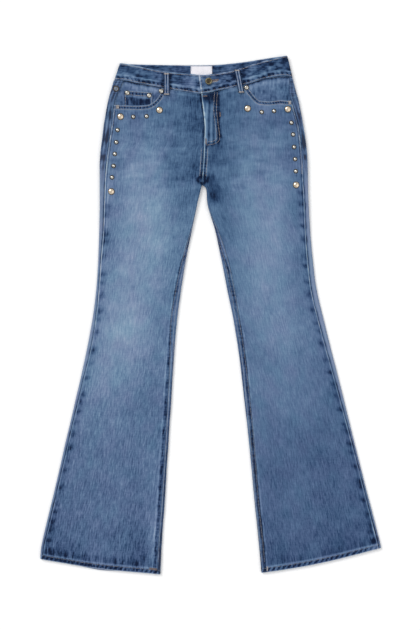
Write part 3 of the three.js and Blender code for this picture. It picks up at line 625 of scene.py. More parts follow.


# Washed denim: its colour comes from the lightness kept on its points, mostly wash with painted light and
# shade in places, and from the threads of its weave
def makeDenim(name):
    material, tree, shader = newMaterial(name)
    grain = addNode(tree, "ShaderNodeUVMap", uv_map="grain").outputs["UV"]

    def streaks(kind):
        across, along, detail, _ = denimLook[kind]
        scaled = addNode(tree, "ShaderNodeMapping", {"Vector": grain, "Scale": (across, along, 1.0)})
        return mathNode(tree, "SUBTRACT", noiseNode(tree, scaled.outputs[0], 1.0, detail, Roughness=0.6), 0.5)

    def added(kind, pattern, total):
        return mathNode(tree, "MULTIPLY_ADD", pattern, denimLook[kind][3], total)

    slub = streaks("slub")
    fine = streaks("fine")
    threads = mathNode(tree, "MULTIPLY", fine, denimLook["fine"][3])
    threads = added("middle", streaks("middle"), threads)
    threads = added("weft", streaks("weft"), threads)
    threads = added("slub", slub, threads)
    lightness = pointValue(tree, "lightness")
    plainness = mathNode(tree, "MULTIPLY_ADD", lightness, *denimLook["plainness"])
    plainness = mathNode(tree, "MULTIPLY", plainness, pointValue(tree, "weave"))
    level = mathNode(tree, "MULTIPLY_ADD", threads, plainness, lightness)
    level = added("blotch", streaks("blotch"), level)
    twill = denimLook["twill"]
    turned = addNode(tree, "ShaderNodeMapping",
                     {"Vector": grain, "Rotation": (0.0, 0.0, math.radians(twill["angle"])),
                      "Scale": (1000.0, 1000.0, 1.0)})
    ribs = addNode(tree, "ShaderNodeTexWave",
                   {"Vector": turned.outputs[0], "Scale": twill["scale"], "Distortion": twill["distortion"],
                    "Detail": 1.0}).outputs["Fac"]
    level = mathNode(tree, "MULTIPLY_ADD", mathNode(tree, "SUBTRACT", ribs, 0.5), twill["strength"], level)
    light = denimLook["light"]
    wash = denimLook["wash"]
    lightest = wash[-1][0]
    ramp = addNode(tree, "ShaderNodeValToRGB", {"Fac": mathNode(tree, "DIVIDE", level, lightest)})
    stops = ramp.color_ramp.elements
    stops[0].color = linear(*wash[0][1], light)
    stops[1].color = linear(*wash[-1][1], light)
    for position, colour in wash[1:-1]:
        stops.new(position / lightest).color = linear(*colour, light)
    unwashed = linear(*denimLook["inside"], light)
    washed = mixColours(tree, pointValue(tree, "inside"), ramp.outputs["Color"], unwashed)
    lean = mathNode(tree, "ADD", added("lean", streaks("lean"), 0.5), pointValue(tree, "azure"))
    leaning = mixColours(tree, lean, denimLook["violet"], denimLook["azure"])
    colour = mixColours(tree, 1.0, washed, leaning, blend_type="MULTIPLY")
    relief = mathNode(tree, "MULTIPLY_ADD", slub, 0.9, mathNode(tree, "MULTIPLY", ribs, 0.35))
    relief = mathNode(tree, "MULTIPLY_ADD", fine, 0.8, relief)
    finishSurface(tree, shader, colour, relief, denimLook["bump"], denimLook["surface"])
    return material


threadLook = {
    "colours": {"tanThread": (177, 171, 168), "rustThread": (116, 104, 104),
                "paleBlueThread": (150, 164, 184), "slateThread": (144, 147, 156)},
    "spread": 0.24,
    "bump": (0.3, 0.0002),
    "surface": {"Roughness": 0.75, "Specular IOR Level": 0.3},
}


# Sewing thread, darker and lighter by turns
def makeThread(name, colour):
    material, tree, shader = newMaterial(name)
    place = addNode(tree, "ShaderNodeTexCoord").outputs["Object"]
    dark = shaded(colour, 1 - threadLook["spread"])
    light = shaded(colour, 1 + threadLook["spread"])
    tone = twoTone(tree, noiseNode(tree, place, 160.0, 2.0), 0.3, dark, 0.7, light)
    twist = noiseNode(tree, place, 2600.0, 1.0)
    finishSurface(tree, shader, tone, twist, threadLook["bump"], threadLook["surface"])
    return material


# Worn metals: their own colour, that of their tarnish and their roughness
metalLook = {
    "champagneMetal": ((234, 220, 200), (188, 166, 138), 0.27),
    "silverMetal": ((220, 218, 210), (160, 156, 148), 0.26),
    "darkMetal": ((92, 82, 66), (40, 36, 32), 0.45),
    "dullMetal": ((132, 142, 156), (84, 92, 106), 0.5),
    "buttonBrass": ((138, 132, 108), (84, 78, 54), 0.48),
}


def makeMetal(name, colour, tarnish, roughness):
    material, tree, shader = newMaterial(name)
    place = addNode(tree, "ShaderNodeTexCoord").outputs["Object"]
    wear = noiseNode(tree, place, 620.0, 3.0, Roughness=0.6)
    tone = twoTone(tree, wear, 0.34, linear(*tarnish), 0.6, linear(*colour))
    finishSurface(tree, shader, tone, wear, (0.2, 0.0002), {"Metallic": 1.0, "Roughness": roughness})
    return material


# Plain woven stuffs: their colour and the pitch of their weave in metres
wovenLook = {"labelCloth": ((240, 238, 244), 0.0006), "zipTape": ((44, 56, 80), 0.001)}


def makeWoven(name, colour, pitch):
    material, tree, shader = newMaterial(name)
    grain = addNode(tree, "ShaderNodeUVMap", uv_map="grain").outputs["UV"]
    scaled = addNode(tree, "ShaderNodeMapping", {"Vector": grain, "Scale": (1 / pitch, 1 / pitch, 1.0)})
    place = scaled.outputs[0]
    weave = addNode(tree, "ShaderNodeTexWave", {"Vector": place, "Scale": 0.32, "Distortion": 0.4})
    ribs = weave.outputs["Fac"]
    uneven = mathNode(tree, "MULTIPLY", noiseNode(tree, place, 0.06, 3.0), 0.65)
    pattern = mathNode(tree, "MULTIPLY_ADD", ribs, 0.35, uneven)
    tone = twoTone(tree, pattern, 0.2, shaded(colour, 0.8), 0.65, linear(*colour))
    finishSurface(tree, shader, tone, ribs, (0.3, 0.0002), {"Roughness": 0.8, "Specular IOR Level": 0.2})
    return material


denim = makeDenim("washedDenim")
thread = {name: makeThread(name, colour) for name, colour in threadLook["colours"].items()}
metal = {name: makeMetal(name, *finish) for name, finish in metalLook.items()}
woven = {name: makeWoven(name, *finish) for name, finish in wovenLook.items()}


# A closed sheet of cloth from two grids of points in millimetres, turned so that its faces point out
def clothMesh(name, face, back, grain, lightness, material, inside=1.0, pale=0.0, azure=0.0, weave=1.0):
    rows, columns = face.shape[:2]
    layer = rows * columns
    points = np.concatenate([face.reshape(-1, 3), back.reshape(-1, 3)]) * milli
    index = np.arange(layer).reshape(rows, columns)
    front = np.stack([index[:-1, :-1], index[1:, :-1], index[1:, 1:], index[:-1, 1:]], axis=-1).reshape(-1, 4)
    quads = [front, front[:, ::-1] + layer]
    for line in (index[:, 0], index[-1, :], index[::-1, -1], index[0, ::-1]):
        quads.append(np.stack([line[:-1], line[:-1] + layer, line[1:] + layer, line[1:]], axis=-1))
    quads = np.concatenate(quads)
    corners = points[quads]
    volume = 0.0
    for i in (1, 2):
        volume += np.einsum("ij,ij->i", corners[:, 0], np.cross(corners[:, i], corners[:, i + 1])).sum()
    if volume < 0:
        quads = quads[:, ::-1]
    mesh = bpy.data.meshes.new(name)
    mesh.vertices.add(len(points))
    mesh.vertices.foreach_set("co", points.astype(np.float32).ravel())
    mesh.loops.add(quads.size)
    mesh.loops.foreach_set("vertex_index", quads.ravel().astype(np.int32))
    mesh.polygons.add(len(quads))
    mesh.polygons.foreach_set("loop_start", np.arange(0, quads.size, 4, dtype=np.int32))
    mesh.update(calc_edges=True)
    uv = np.concatenate([grain.reshape(-1, 2), grain.reshape(-1, 2)]) * milli
    mesh.uv_layers.new(name="grain").data.foreach_set("uv", uv[quads.ravel()].astype(np.float32).ravel())
    # each number is kept for the face and for the back
    for key, both in {"lightness": (lightness, lightness * 0.7 + 0.1), "inside": (pale, inside), "azure": (azure, azure),
                      "weave": (weave, weave)}.items():
        values = np.concatenate([np.broadcast_to(value, (rows, columns)).ravel() for value in both])
        mesh.attributes.new(key, "FLOAT", "POINT").data.foreach_set("value", values.astype(np.float32))
    mesh.shade_smooth()
    mesh.materials.append(material)
    mesh.validate()
    return linked(name, mesh)


def stack(x, y, z):
    return np.stack(np.broadcast_arrays(x, y, z), axis=-1).astype(float)


# Column places from 0 to 1, close together near both ends
def columnShares(count, edgeCount, edgeStep):
    number = np.arange(count)
    ends = np.minimum(number, count - 1 - number)
    weight = blend(edgeStep, 1.0, smooth(edgeCount * 0.5, edgeCount * 1.5, ends))
    return np.concatenate([[0], np.cumsum(weight)]) / weight.sum()


# Levels of the rows from the hip line to the hem
def legLevels(step):
    plain = np.arange(levels["hip"], hemTop + 2.5, -step)
    turned = [-1.2, -0.4, 0.4, 1.4, 2.8, 4.2, 5.6, 7, 8.2, 9.2, 9.9, 10.4, 10.75, 11]
    return np.concatenate([plain, hemTop - np.array(turned)])


def wallAt(level):
    return blend(cloth["doubled"], cloth["layer"], smooth(hemTop - 0.3, hemTop + 0.5, level))


# Twisted ridges along a hem
def hemRoping(x, y, level):
    inBand = smooth(0.4, 2.4, level - levels["hem"]) * (1 - smooth(8.6, 11.2, level - levels["hem"]))
    return inBand * barsAlong(x * 0.97 - y * 0.6, 9.6, math.pi / 2 * lineNoise(x, 26, 31)) ** 1.4


# Each kind of piece is cut from its own stretch of the cloth's pattern
grainShifts = {"front": 400, "back": 1400, "yoke": 2400, "band": 3000, "facing": 4200, "coin": 4600,
               "loop": 5200, "backPocket": 5600, "label": 6200, "tape": 6600}

frontSettings = {"columns": 88, "rowStep": 2.1, "mouthRows": 40, "mouthReach": 40, "cornerShare": 0.6}


# Worn cloth away from its seams: soft creases, clouds and short level streaks across the seat
def wornCloth(side, x, y):
    soft = 0.30 * softNoise(x, y, 46, 21) + 0.16 * softNoise(x, y, 19, 22) + 0.07 * softNoise(x, y, 8, 23)
    clouds = 0.6 * softNoise(x, y * 1.2, 27, 24) + 0.4 * softNoise(x, y * 1.4, 12, 25)
    streaks = 0.09 * softNoise(x * 0.34, y, 8, 26) + 0.05 * softNoise(x * 0.5, y, 3.6, 27)
    strength = {"left": 0.09, "right": 0.07}[side] * blend(0.3, 1.0, smooth(-160, 60, y))
    return soft, 0.09 * soft + strength * clouds + smooth(215, 300, y) * streaks


# Outseam: a ridge over the seam's allowance, with puckers beside it
def outseamDetail(side, y, away, lightness, relief):
    spots = puckerSpots(side, y, away) * smooth(0.5, 3.0, away) * (1 - smooth(8, 18, away))
    ridge = 0.55 * smooth(0, 1.5, away) * (1 - smooth(7, 12, away))
    small = puckers(away, y, 41, 7.0, 6.0)
    crisp = blend({"left": 0.34, "right": 0.62}[side], 0.72, smooth(-60, 120, y)) + 0.16 * smooth(250, 350, y)
    hip = smooth(60, 160, y) * (1 - smooth(428, 440, y))
    lightness = lightness - (0.16 + 0.28 * lightness) * spots - 0.10 * small + wornEdge(away - 0.6, y, crisp, 42, 1.2)
    lightness -= 0.08 * bell(away - 5.0, 2.6)
    lightness += hip * (0.22 * bell(away - 6.4, 1.2) - 0.16 * bell(away - 3.6, 1.4))
    return lightness, relief + ridge * (1 - 0.7 * np.clip(spots, 0, 1)) - 0.35 * small


# Centre seam, from the crotch up to the fly, the knot of seams at its foot, and painted shade beside the
# fly's edge
def centreDetail(side, x, y, away, seat, lightness, relief):
    small = puckers(away, y, 43, 7.0, 5.0)
    belowFly = seat * (1 - smooth(fly["foot"] + 2, fly["foot"] + 12, y))
    bars = 0.2 + 0.8 * barsAlong(y, 5.6, 2.0 * lineNoise(y, 17, 48))
    if side == "right":
        lightness += wornEdge(away - 0.4, y, 1.15, 44, 1.3) * smooth(286, 297, y)
        lightness += belowFly * (0.26 * bell(away - 8.0, 1.2) - 0.50 * bars * bell(away - 4.0, 2.4))
    else:
        lightness += belowFly * (0.14 * bell(away - 6.0, 1.3) - 0.34 * bars * bell(away - 2.4, 2.0))
        # painted shade on the left front, beside the fly's raised edge
        lightness -= 0.30 * (seat - belowFly) * bell(x - flyEdge(y) + 2.4, 2.2)
    relief += seat * (0.4 * smooth(0, 1.2, away) * (1 - smooth(6, 10, away)) - 0.3 * small)
    knot = np.hypot(x - levels["crotchX"], (y - levels["crotch"] - 11) * 1.15)
    lightness -= (0.42 + 0.2 * softNoise(x, y, 5, 49)) * bell(knot - 9.0, 3.6) + 0.08 * bell(knot, 6)
    lightness += 0.34 * bell(x + 18, 3.2) * bell(y - 285, 4.5)
    return lightness, relief + 0.5 * softNoise(x, y, 4.5, 50) * bell(knot, 13)


# Pocket mouth, and the seam below the waistband beyond it
def mouthDetail(away, along, mouthLength, lightness, relief):
    small = puckers(away, along, 45, 6.0, 7.0)
    ridge = 0.6 * smooth(0, 1.2, away) * (1 - smooth(7.5, 11, away))
    bars = barsAlong(along, 5.4, 2.4 * lineNoise(along, 17, 47))
    atMouth = 1 - smooth(mouthLength - 3, mouthLength + 3, along)
    lightness += wornEdge(away - 0.4, along, 0.34, 46, 1.3) - 0.14 * small
    lightness += atMouth * (0.26 * bell(away - 9.4, 1.5) - (0.04 + 0.62 * bars ** 1.3) * bell(away - 5.2, 2.8))
    lightness += (1 - atMouth) * 0.22 * bell(away - 6.0, 2.6) * (0.6 + 0.4 * bars)
    return lightness, relief + ridge - 0.4 * small


# Front hem: roped and rubbed pale, most of all at the outer corner, with unfaded dips above it
def hemDetail(side, x, y, level, outerAway, lightness, relief):
    fromHem = level - levels["hem"]
    rope = hemRoping(x, y, level)
    inHem = 1 - smooth(9.5, 12.5, fromHem)
    corner = bell(outerAway - 4, 20) * {"left": 0.3, "right": 1.0}[side]
    lightness += (0.14 + 0.16 * corner) * inHem - 0.66 * rope * inHem * (1 - 0.6 * corner)
    lightness -= 0.45 * corner * bell(outerAway - 8.0, 4.5) * bell(fromHem - 21, 7)
    flat = {"left": smooth(-180, -206, x), "right": 0.0}[side]
    lightness += 0.40 * flat * bell(fromHem, 1.6) - 0.22 * flat * inHem
    lightness += 0.34 * bell(fromHem - 11.4, 1.3) + 0.50 * bell(fromHem, 1.5)
    rubbed = bell(fromHem - 46, 24) * {"left": 0.2, "right": 1.0}[side]
    lightness += 0.42 * rubbed * bell(outerAway - 1.5, 2.6)
    dips = np.clip(0.55 + 1.1 * lineNoise(x, 3.8, 33), 0, 1.4)
    depth = {"left": 0.26 - 0.12 * smooth(-190, -140, x), "right": 0.12}[side]
    lightness -= depth * dips * bell(fromHem - 19, 10) * (fromHem > 12)
    return lightness, relief + 0.35 * rope * inHem


# Shape and wash of a front at places on its top, with painted shade beside the fly's edge and in the trough
# by the crotch; edges holds how far they are from its seams
def frontSurface(side, x, y, level, edges, mouthLength):
    relief, tint = foldsAt(frontFolds, side, x, y)
    soft, worn = wornCloth(side, x, y)
    lightness = fadeAt(frontFade, side, x, y) + tint + worn
    seat = smooth(levels["crotch"] - 4, levels["crotch"] + 6, y)
    lightness, relief = outseamDetail(side, y, edges["outer"], lightness, relief)
    lightness, relief = centreDetail(side, x, y, edges["inner"], seat, lightness, relief)
    look, height = inseamLook(side, y, np.abs(x - outline[side]["inner"](y)))
    lightness += (1 - seat) * look
    relief += (1 - seat) * height
    lightness, relief = mouthDetail(edges["top"], edges["along"], mouthLength, lightness, relief)
    lightness, relief = hemDetail(side, x, y, level, edges["outer"], lightness, relief)
    lift = 0.0
    if side == "right":
        lightness, relief = flyDetail(x, y, lightness, relief)
        lift = flyLift(x, y)
    return np.clip(relief + soft, -1.4, 3.0) + lift, lightness


# Curved stitching that holds the fly, and the ridges beside it
flyStitch = [(14.2, 471), (13.0, 452), (12.4, 437), (15.5, 407.5), (19.3, 378), (17.6, 370), (11, 364.4),
             (2.1, 362), (-7.5, 360.4)]
flyRidges = {"x": [-8.5, 2.2, 11.6], "height": [0.45, 0.4, 0.35], "width": 2.6}


# The fly: ridges pressed through by the zip, and rubbed and dark cloth at its stitching
def flyDetail(x, y, lightness, relief):
    inFly = smooth(356, 368, y) * (1 - smooth(440, 462, y))
    lean = 0.02 * (y - 400) + 1.2 * lineNoise(y, 30, 51)
    for place, height in zip(flyRidges["x"], flyRidges["height"]):
        share = bell(x - place - lean, flyRidges["width"]) * inFly * (x > flyEdge(y))
        relief += height * share
        lightness += 0.34 * share
        lightness -= 0.20 * bell(x - place - lean - 5.2, 2.4) * inFly
    blotch = bell(x + 3, 14) * bell(y - 462, 11) * (0.8 + 0.6 * softNoise(x, y, 6, 52))
    lightness -= 0.62 * np.clip(blotch, 0, 1)
    away, along = nearLine(x, y, flyStitch)
    upright = smooth(372, 384, y)
    bars = barsAlong(along, 8.0, 4 * lineNoise(along, 14, 54))
    lightness -= (0.12 + 0.16 * upright + 0.22 * bars) * bell(away - 1.0, 3.6)
    lightness -= 0.20 * puckers(away, along, 53, 6, 5)
    relief -= 0.3 * bell(away, 3.0)
    return lightness, relief


# A front runs from the outseam on top to the centre seam, or below the crotch to the inseam
def frontPanel(side):
    sign = sideSign[side]
    share = columnShares(frontSettings["columns"] - 1, 12, 0.26)
    corner = int(np.argmin(np.abs(share - frontSettings["cornerShare"])))
    level = legLevels(frontSettings["rowStep"])[:, None]
    tube = rowTube(side, level)
    start = outseamArc(tube, level) - gap / 2
    seatEnd = arcOfTop(tube, centreFront(side, level))
    legEnd = outline[side]["inseam"](level) + gap / 2
    end = np.where(level > levels["crotch"], seatEnd, legEnd)
    arc = start + (end - start) * share[None, :]
    x = onTube(tube, arc)["x"]
    y = slanted(side, level, x, True)
    # upper rows run from the pocket mouth and the waist seam down to the hip line
    mouth = evenly(pocketMouth[side], 0.5)
    mouth[-1] = (mouth[-1][0], frontSeam(mouth[-1][0]) - gap)
    mouth[0][0] = outline[side]["outer"](mouth[0][1]) - sign * (outline[side]["outseam"](mouth[0][1]) - 1)
    alongMouth = np.linspace(0, 1, len(mouth))
    shareMouth = share[: corner + 1] / share[corner]
    shareWaist = (share[corner + 1:] - share[corner]) / (1 - share[corner])
    centreX = centreFront(side, levels["waist"])
    waistX = blend(mouth[-1][0], centreX, shareWaist)
    upperX = np.concatenate([np.interp(shareMouth, alongMouth, mouth[:, 0]), waistX])
    upperY = np.concatenate([np.interp(shareMouth, alongMouth, mouth[:, 1]), frontSeam(waistX) - gap])
    down = columnShares(frontSettings["mouthRows"], 6, 0.4)[:-1, None]
    rows = len(down)
    mouthX = blend(upperX[None, :], x[:1], down)
    mouthY = blend(upperY[None, :], y[:1], down)
    mouthOuter = sign * outline[side]["outer"](mouthY) + tube["quarter"][0] - tube["radius"][0]
    mouthOuter -= outline[side]["outseam"](mouthY) + gap / 2 + sign * mouthX
    allX = np.concatenate([mouthX, x])
    allY = np.concatenate([mouthY, y])
    allLevel = np.concatenate([mouthY, level + 0 * x])
    edges = {
        "outer": np.abs(np.concatenate([mouthOuter, start - arc])),
        "inner": np.abs(np.concatenate([mouthX - centreFront(side, mouthY), arc - end])),
        "top": np.full(allX.shape, farAway),
        "along": np.zeros(allX.shape),
    }
    mouthLine = [tuple(p) for p in mouth[::12]]
    mouthLength = float(np.hypot(*np.diff(mouthLine, axis=0).T).sum())
    waistLine = [(px, frontSeam(px) - gap) for px in np.linspace(mouth[-1][0], centreX, 14)]
    upper = slice(rows + frontSettings["mouthReach"])
    edges["top"][upper], edges["along"][upper] = nearLine(allX[upper], allY[upper], mouthLine + waistLine)
    relief, lightness = frontSurface(side, allX, allY, allLevel, edges, mouthLength)
    # the cloth turns down at the crotch, where the leg's inner fold begins
    turn = 1 - smooth(levels["crotch"], levels["crotch"] + 16, allY)
    away = np.clip(1 - edges["inner"] / 3.0, 0, 1)
    relief -= np.where(allY > levels["crotch"], 3.0 * turn * (1 - np.sqrt(1 - away ** 2)), 0)
    wall = wallAt(allLevel)
    pinch = roundedEdge(nearest(edges["outer"], edges["inner"], edges["top"], allLevel - levels["hem"]), wall)
    topHeight = baseAt(mouthY) + heightAt(mouthY)
    grids = []
    for depth in (pinch - relief, wall - pinch * 0.9 - relief):
        placed = onTube(tube, arc, depth[rows:])
        gridX = np.concatenate([mouthX, placed["x"]])
        gridZ = np.concatenate([topHeight - depth[:rows], placed["z"]])
        grids.append(stack(gridX, allY, gridZ))
    # the least worn cloth, round the crotch and down the inner thighs, is the bluest
    azure = 0.8 * bell(allX + 15, 85) * smooth(-150, 60, allY) - 0.25 * (1 - smooth(-420, -150, allY))
    thighWeave = blend(1.0, 0.84, smooth(180, 300, allY))
    weave = blend({"left": 1.14, "right": 0.92}[side], thighWeave, smooth(-180, 20, allY))
    across = arc - (start + end) / 2
    grainAcross = np.concatenate([across[:1] + sign * (mouthX - x[:1]), across])
    grain = np.stack([grainAcross + grainShifts["front"] * sign, allY], axis=-1)
    return clothMesh("frontPanel" + side.capitalize(), *grids, grain, lightness, denim, azure=azure,
                     weave={"left": 1.0, "right": 0.78}[side] * weave)


print("front panels")
fronts = {side: frontPanel(side) for side in ("left", "right")}


# A back row runs from the outseam on top, round the outer fold, along the table
# and below the crotch round the inner fold to the inseam
def backArcs(tube, level, counts):
    start = outseamArc(tube, level) + gap / 2
    seat = level > levels["crotch"]
    seatEnd = arcOfUnder(tube, centreBack + sideSign[tube["side"]] * gap / 2)
    legEnd = 2 * tube["half"] + outline[tube["side"]]["inseam"](level) - gap / 2
    end = np.where(seat, seatEnd, legEnd)
    turnIn = np.where(seat, end - 8, 2 * tube["half"] - tube["quarter"])
    stations = [start, tube["half"] - tube["quarter"], tube["half"] + tube["quarter"], turnIn, end]
    parts = [blend(stations[0], stations[1], np.array([[0, 0.04]]))]
    for before, after, count in zip(stations, stations[1:], counts):
        parts.append(blend(before, after, np.linspace(0, 1, count + 1)[None, 1:]))
    last = parts.pop()
    parts.extend([last[:, :-1], blend(last[:, -2:-1], end, 0.6), end + 0 * start])
    return np.concatenate(parts, axis=1), start, end


# Unfaded and rubbed patches of the hip outside the outseam: height, half height, change of fade
stripPatches = {
    "left": [(426, 6.5, -0.20), (405, 9.0, 0.20), (377, 10.5, -0.52), (354, 6.0, 0.10), (334, 6.5, -0.44),
             (312, 5.0, -0.12)],
    "right": [(421, 9.0, -0.20), (396, 6.0, 0.12), (367, 14.0, -0.46), (335, 6.0, -0.34)],
}
# Pale and dark lines down that strip: distance from the outseam, width, change of fade
stripLines = [(10.0, 1.4, 0.36), (5.8, 2.0, -0.42), (13.4, 1.8, -0.36), (2.2, 1.0, 0.2)]


# The strip of back that shows outside the outseam
def stripDetail(side, at, y, away, lightness, relief):
    onTop = at["over"]
    outside = (away < 40) & onTop
    hip = smooth(250, 350, y)
    spots = puckerSpots(side, y, -away) * (1 - smooth(3, 8, away))
    # the last term, a dark line right at the outseam, is painted shade in the gap beside the front's edge
    lightness -= 0.16 * spots + 0.12 * puckers(away, y, 63, 8, 5) + 0.24 * bell(away - 0.6, 1.0) * onTop
    if side == "right":
        lightness += onTop * (0.24 * bell(away - 6.0, 1.2) - 0.40 * bell(y + 473, 6) * bell(away - 3.0, 3))
    # lighter where the cloth curves down at its folds: painted light that lifts the shade there
    lightness += 0.6 * np.clip(1 - at["share"], 0, 0.5) * onTop
    onStrip = smooth(1.2, 4, away) * outside
    lightness += (0.10 - 0.20 * hip) * onStrip
    streaks = sum(change * bell(away - place, width) for place, width, change in stripLines)
    lightness += hip * streaks * (0.8 + 0.5 * softNoise(y, away, 15, 69)) * outside
    acrossStrip = smooth(1.2, 3.4, away) * (1 - smooth(12.5, 15.5, away)) * onTop
    for place, half, change in stripPatches[side]:
        lightness += change * bell((y - place) ** 2 / half, half) * acrossStrip
    relief += 0.2 * bell(away - 3, 2.4) - 0.2 * np.clip(spots, 0, 1)
    return lightness, relief, (0.55 - 0.45 * hip) * onStrip


# Shape and wash of a back at places on its tube, with painted light on its rounded folds and painted shade
# beside the outseam, and how pale it shows
def backSurface(side, at, y, level, outerAway, innerAway, upperAway):
    x = at["x"]
    relief, tint = foldsAt(backFolds, side, x, y)
    onTop = at["over"]
    under = ~onTop
    relief = np.where(under, relief, 0)
    lightness = np.where(under, fadeAt(backFade, side, x, y) + tint, fadeAt(frontFade, side, x, y) + 0.02)
    soft = 0.26 * softNoise(x, y, 46, 61) + 0.14 * softNoise(x, y, 19, 62)
    lightness, relief, pale = stripDetail(side, at, y, outerAway, lightness, relief)
    # the strip that shows inside the inseam, ridged by its allowance
    foldAway = np.abs(x - outline[side]["inner"](y))
    look, height = inseamLook(side, y, foldAway)
    inside = (1 - smooth(levels["crotch"] - 30, levels["crotch"], y)) * ((innerAway < 40) & onTop)
    lightness += inside * look
    relief += inside * height
    pale += 0.08 * inside * (foldAway < 7)
    # upper seam, at the yoke
    small = puckers(upperAway, x, 67, 7, 6)
    lightness += wornEdge(upperAway, x, 0.36, 68) - 0.12 * small
    bars = barsAlong(x, 7.2, 3 * lineNoise(x, 15, 97))
    lightness -= under * bell(upperAway - 5.2, 2.4) * (0.06 + 0.24 * bars)
    # seat seam
    seatAway = np.abs(x - centreBack - 1)
    seatSeam = under * smooth(284, 292, y) * (x > centreBack)
    bars = barsAlong(y, 7.4, 3 * lineNoise(y, 15, 98))
    lightness -= seatSeam * bell(seatAway - 4.6, 2.4) * (0.06 + 0.26 * bars)
    lightness += seatSeam * (0.40 * bell(seatAway - 0.2, 1.2) + 0.16 * bell(seatAway - 9.5, 1.6))
    lightness -= 0.16 * under * smooth(284, 292, y) * bell(x - centreBack + 3, 3)
    # the cloth round a back pocket, darker against its edge and rubbed paler beyond
    pocketAway, pocketAlong = nearLine(x, y, pocketOutline(side))
    small = puckers(pocketAway, pocketAlong, 99, 8, 6)
    lightness += under * (0.10 * bell(pocketAway - 9, 4) - 0.16 * bell(pocketAway, 3.5) - 0.18 * small)
    relief -= 0.3 * small
    # hem
    fromHem = level - levels["hem"]
    rope = hemRoping(x, y, level)
    inHem = 1 - smooth(9.5, 12.5, fromHem)
    lightness += 0.14 * inHem + 0.60 * bell(fromHem, 1.6) - 0.66 * rope * inHem
    relief += 0.3 * rope * inHem + soft
    # nothing sinks into the table
    relief = np.where(under, np.clip(relief - 0.35, -1.2, 0.0), np.clip(relief, -0.9, 2.0))
    nearFold = ~at["flat"]
    relief = np.where(nearFold, np.clip(relief, -0.5, np.where(under, 0.0, 0.3)), relief)
    return relief, lightness + 0.05 * soft, pale


backSettings = {"rowStep": 2.8, "upperRows": 16, "seamRows": 12, "counts": (8, 8, 50, 22)}


# The two sides of a sheet that lies on a tube
def tubeGrids(tube, arc, y, pinch, relief, wall):
    grids = []
    for depth in (pinch - relief, wall - pinch * 0.9 - relief):
        placed = onTube(tube, arc, np.minimum(depth, tube["radius"] - 0.1))
        grids.append(stack(placed["x"], y, placed["z"]))
    return grids


def backPanel(side):
    sign = sideSign[side]
    yokeEnd = float(yokeSeam(outline[side]["outer"](levels["yokeSide"]))) - gap
    upperShare = columnShares(backSettings["upperRows"], 4, 0.5)[:-1]
    upperLevels = blend(yokeEnd, levels["hip"], upperShare)
    level = np.concatenate([upperLevels, legLevels(backSettings["rowStep"])])[:, None]
    tube = rowTube(side, level)
    arc, start, end = backArcs(tube, level, backSettings["counts"])
    at = onTube(tube, arc)
    y = slanted(side, level, at["x"], at["over"])
    upper = slice(len(upperLevels))
    y[upper] = blend(yokeSeam(at["x"][upper]) - gap, levels["hip"], upperShare[:, None])
    outerAway = arc - start
    innerAway = end - arc
    upperAway = np.full(arc.shape, farAway)
    nearSeam = slice(len(upperLevels) + backSettings["seamRows"])
    upperAway[nearSeam] = np.abs(yokeSeam(at["x"][nearSeam]) - y[nearSeam])
    relief, lightness, pale = backSurface(side, at, y, level + 0 * arc, outerAway, innerAway, upperAway)
    wall = wallAt(level + 0 * arc)
    pinch = roundedEdge(nearest(outerAway, innerAway, upperAway, level - levels["hem"]), wall)
    grids = tubeGrids(tube, arc, y, pinch, relief, wall)
    grain = np.stack([arc - (start + end) / 2 + grainShifts["back"] * sign, y], axis=-1)
    return clothMesh("backPanel" + side.capitalize(), *grids, grain, lightness, denim, pale=pale)


yokeSettings = {"rows": 19, "waistSide": 500.0, "counts": (8, 8, 60, 16)}


def yokePanel(side):
    foot = float(yokeSeam(outline[side]["outer"](levels["yokeSide"])))
    top = float(frontSeam(outline[side]["outer"](yokeSettings["waistSide"]))) - gap
    share = columnShares(yokeSettings["rows"], 4, 0.4)[:, None]
    level = blend(top, foot, share)
    tube = tubeAt(side, level)
    arc, start, end = backArcs(tube, level, yokeSettings["counts"])
    at = onTube(tube, arc)
    edge = blend(backSeam(at["x"]) - 0.05, frontSeam(at["x"]) - 3 * gap, at["share"])
    y = blend(edge, yokeSeam(at["x"]), share)
    outerAway = arc - start
    innerAway = end - arc
    upperAway = np.minimum(np.abs(edge - y), np.abs(y - yokeSeam(at["x"])))
    relief, lightness, pale = backSurface(side, at, y, level + 0 * arc + 500, outerAway, innerAway, upperAway)
    pinch = roundedEdge(nearest(outerAway, innerAway, upperAway), cloth["layer"])
    grids = tubeGrids(tube, arc, y, pinch, relief, cloth["layer"])
    grain = np.stack([y, outerAway + grainShifts["yoke"] * sideSign[side]], axis=-1)
    return clothMesh("yoke" + side.capitalize(), *grids, grain, lightness, denim, pale=pale)


print("back panels and yokes")
backs = {side: backPanel(side) for side in ("left", "right")}
yokes = {side: yokePanel(side) for side in ("left", "right")}


bandSettings = {"topLevel": 542.0, "seamLevel": 502.0, "step": 2.5, "rows": 22, "wrinkle": 0.55}
bandLoopShadows = [(-102, 3.2), (-84.4, 3.2), (50.5, 3.6), (69.8, 3.6)]  # beside the front loops: x, width
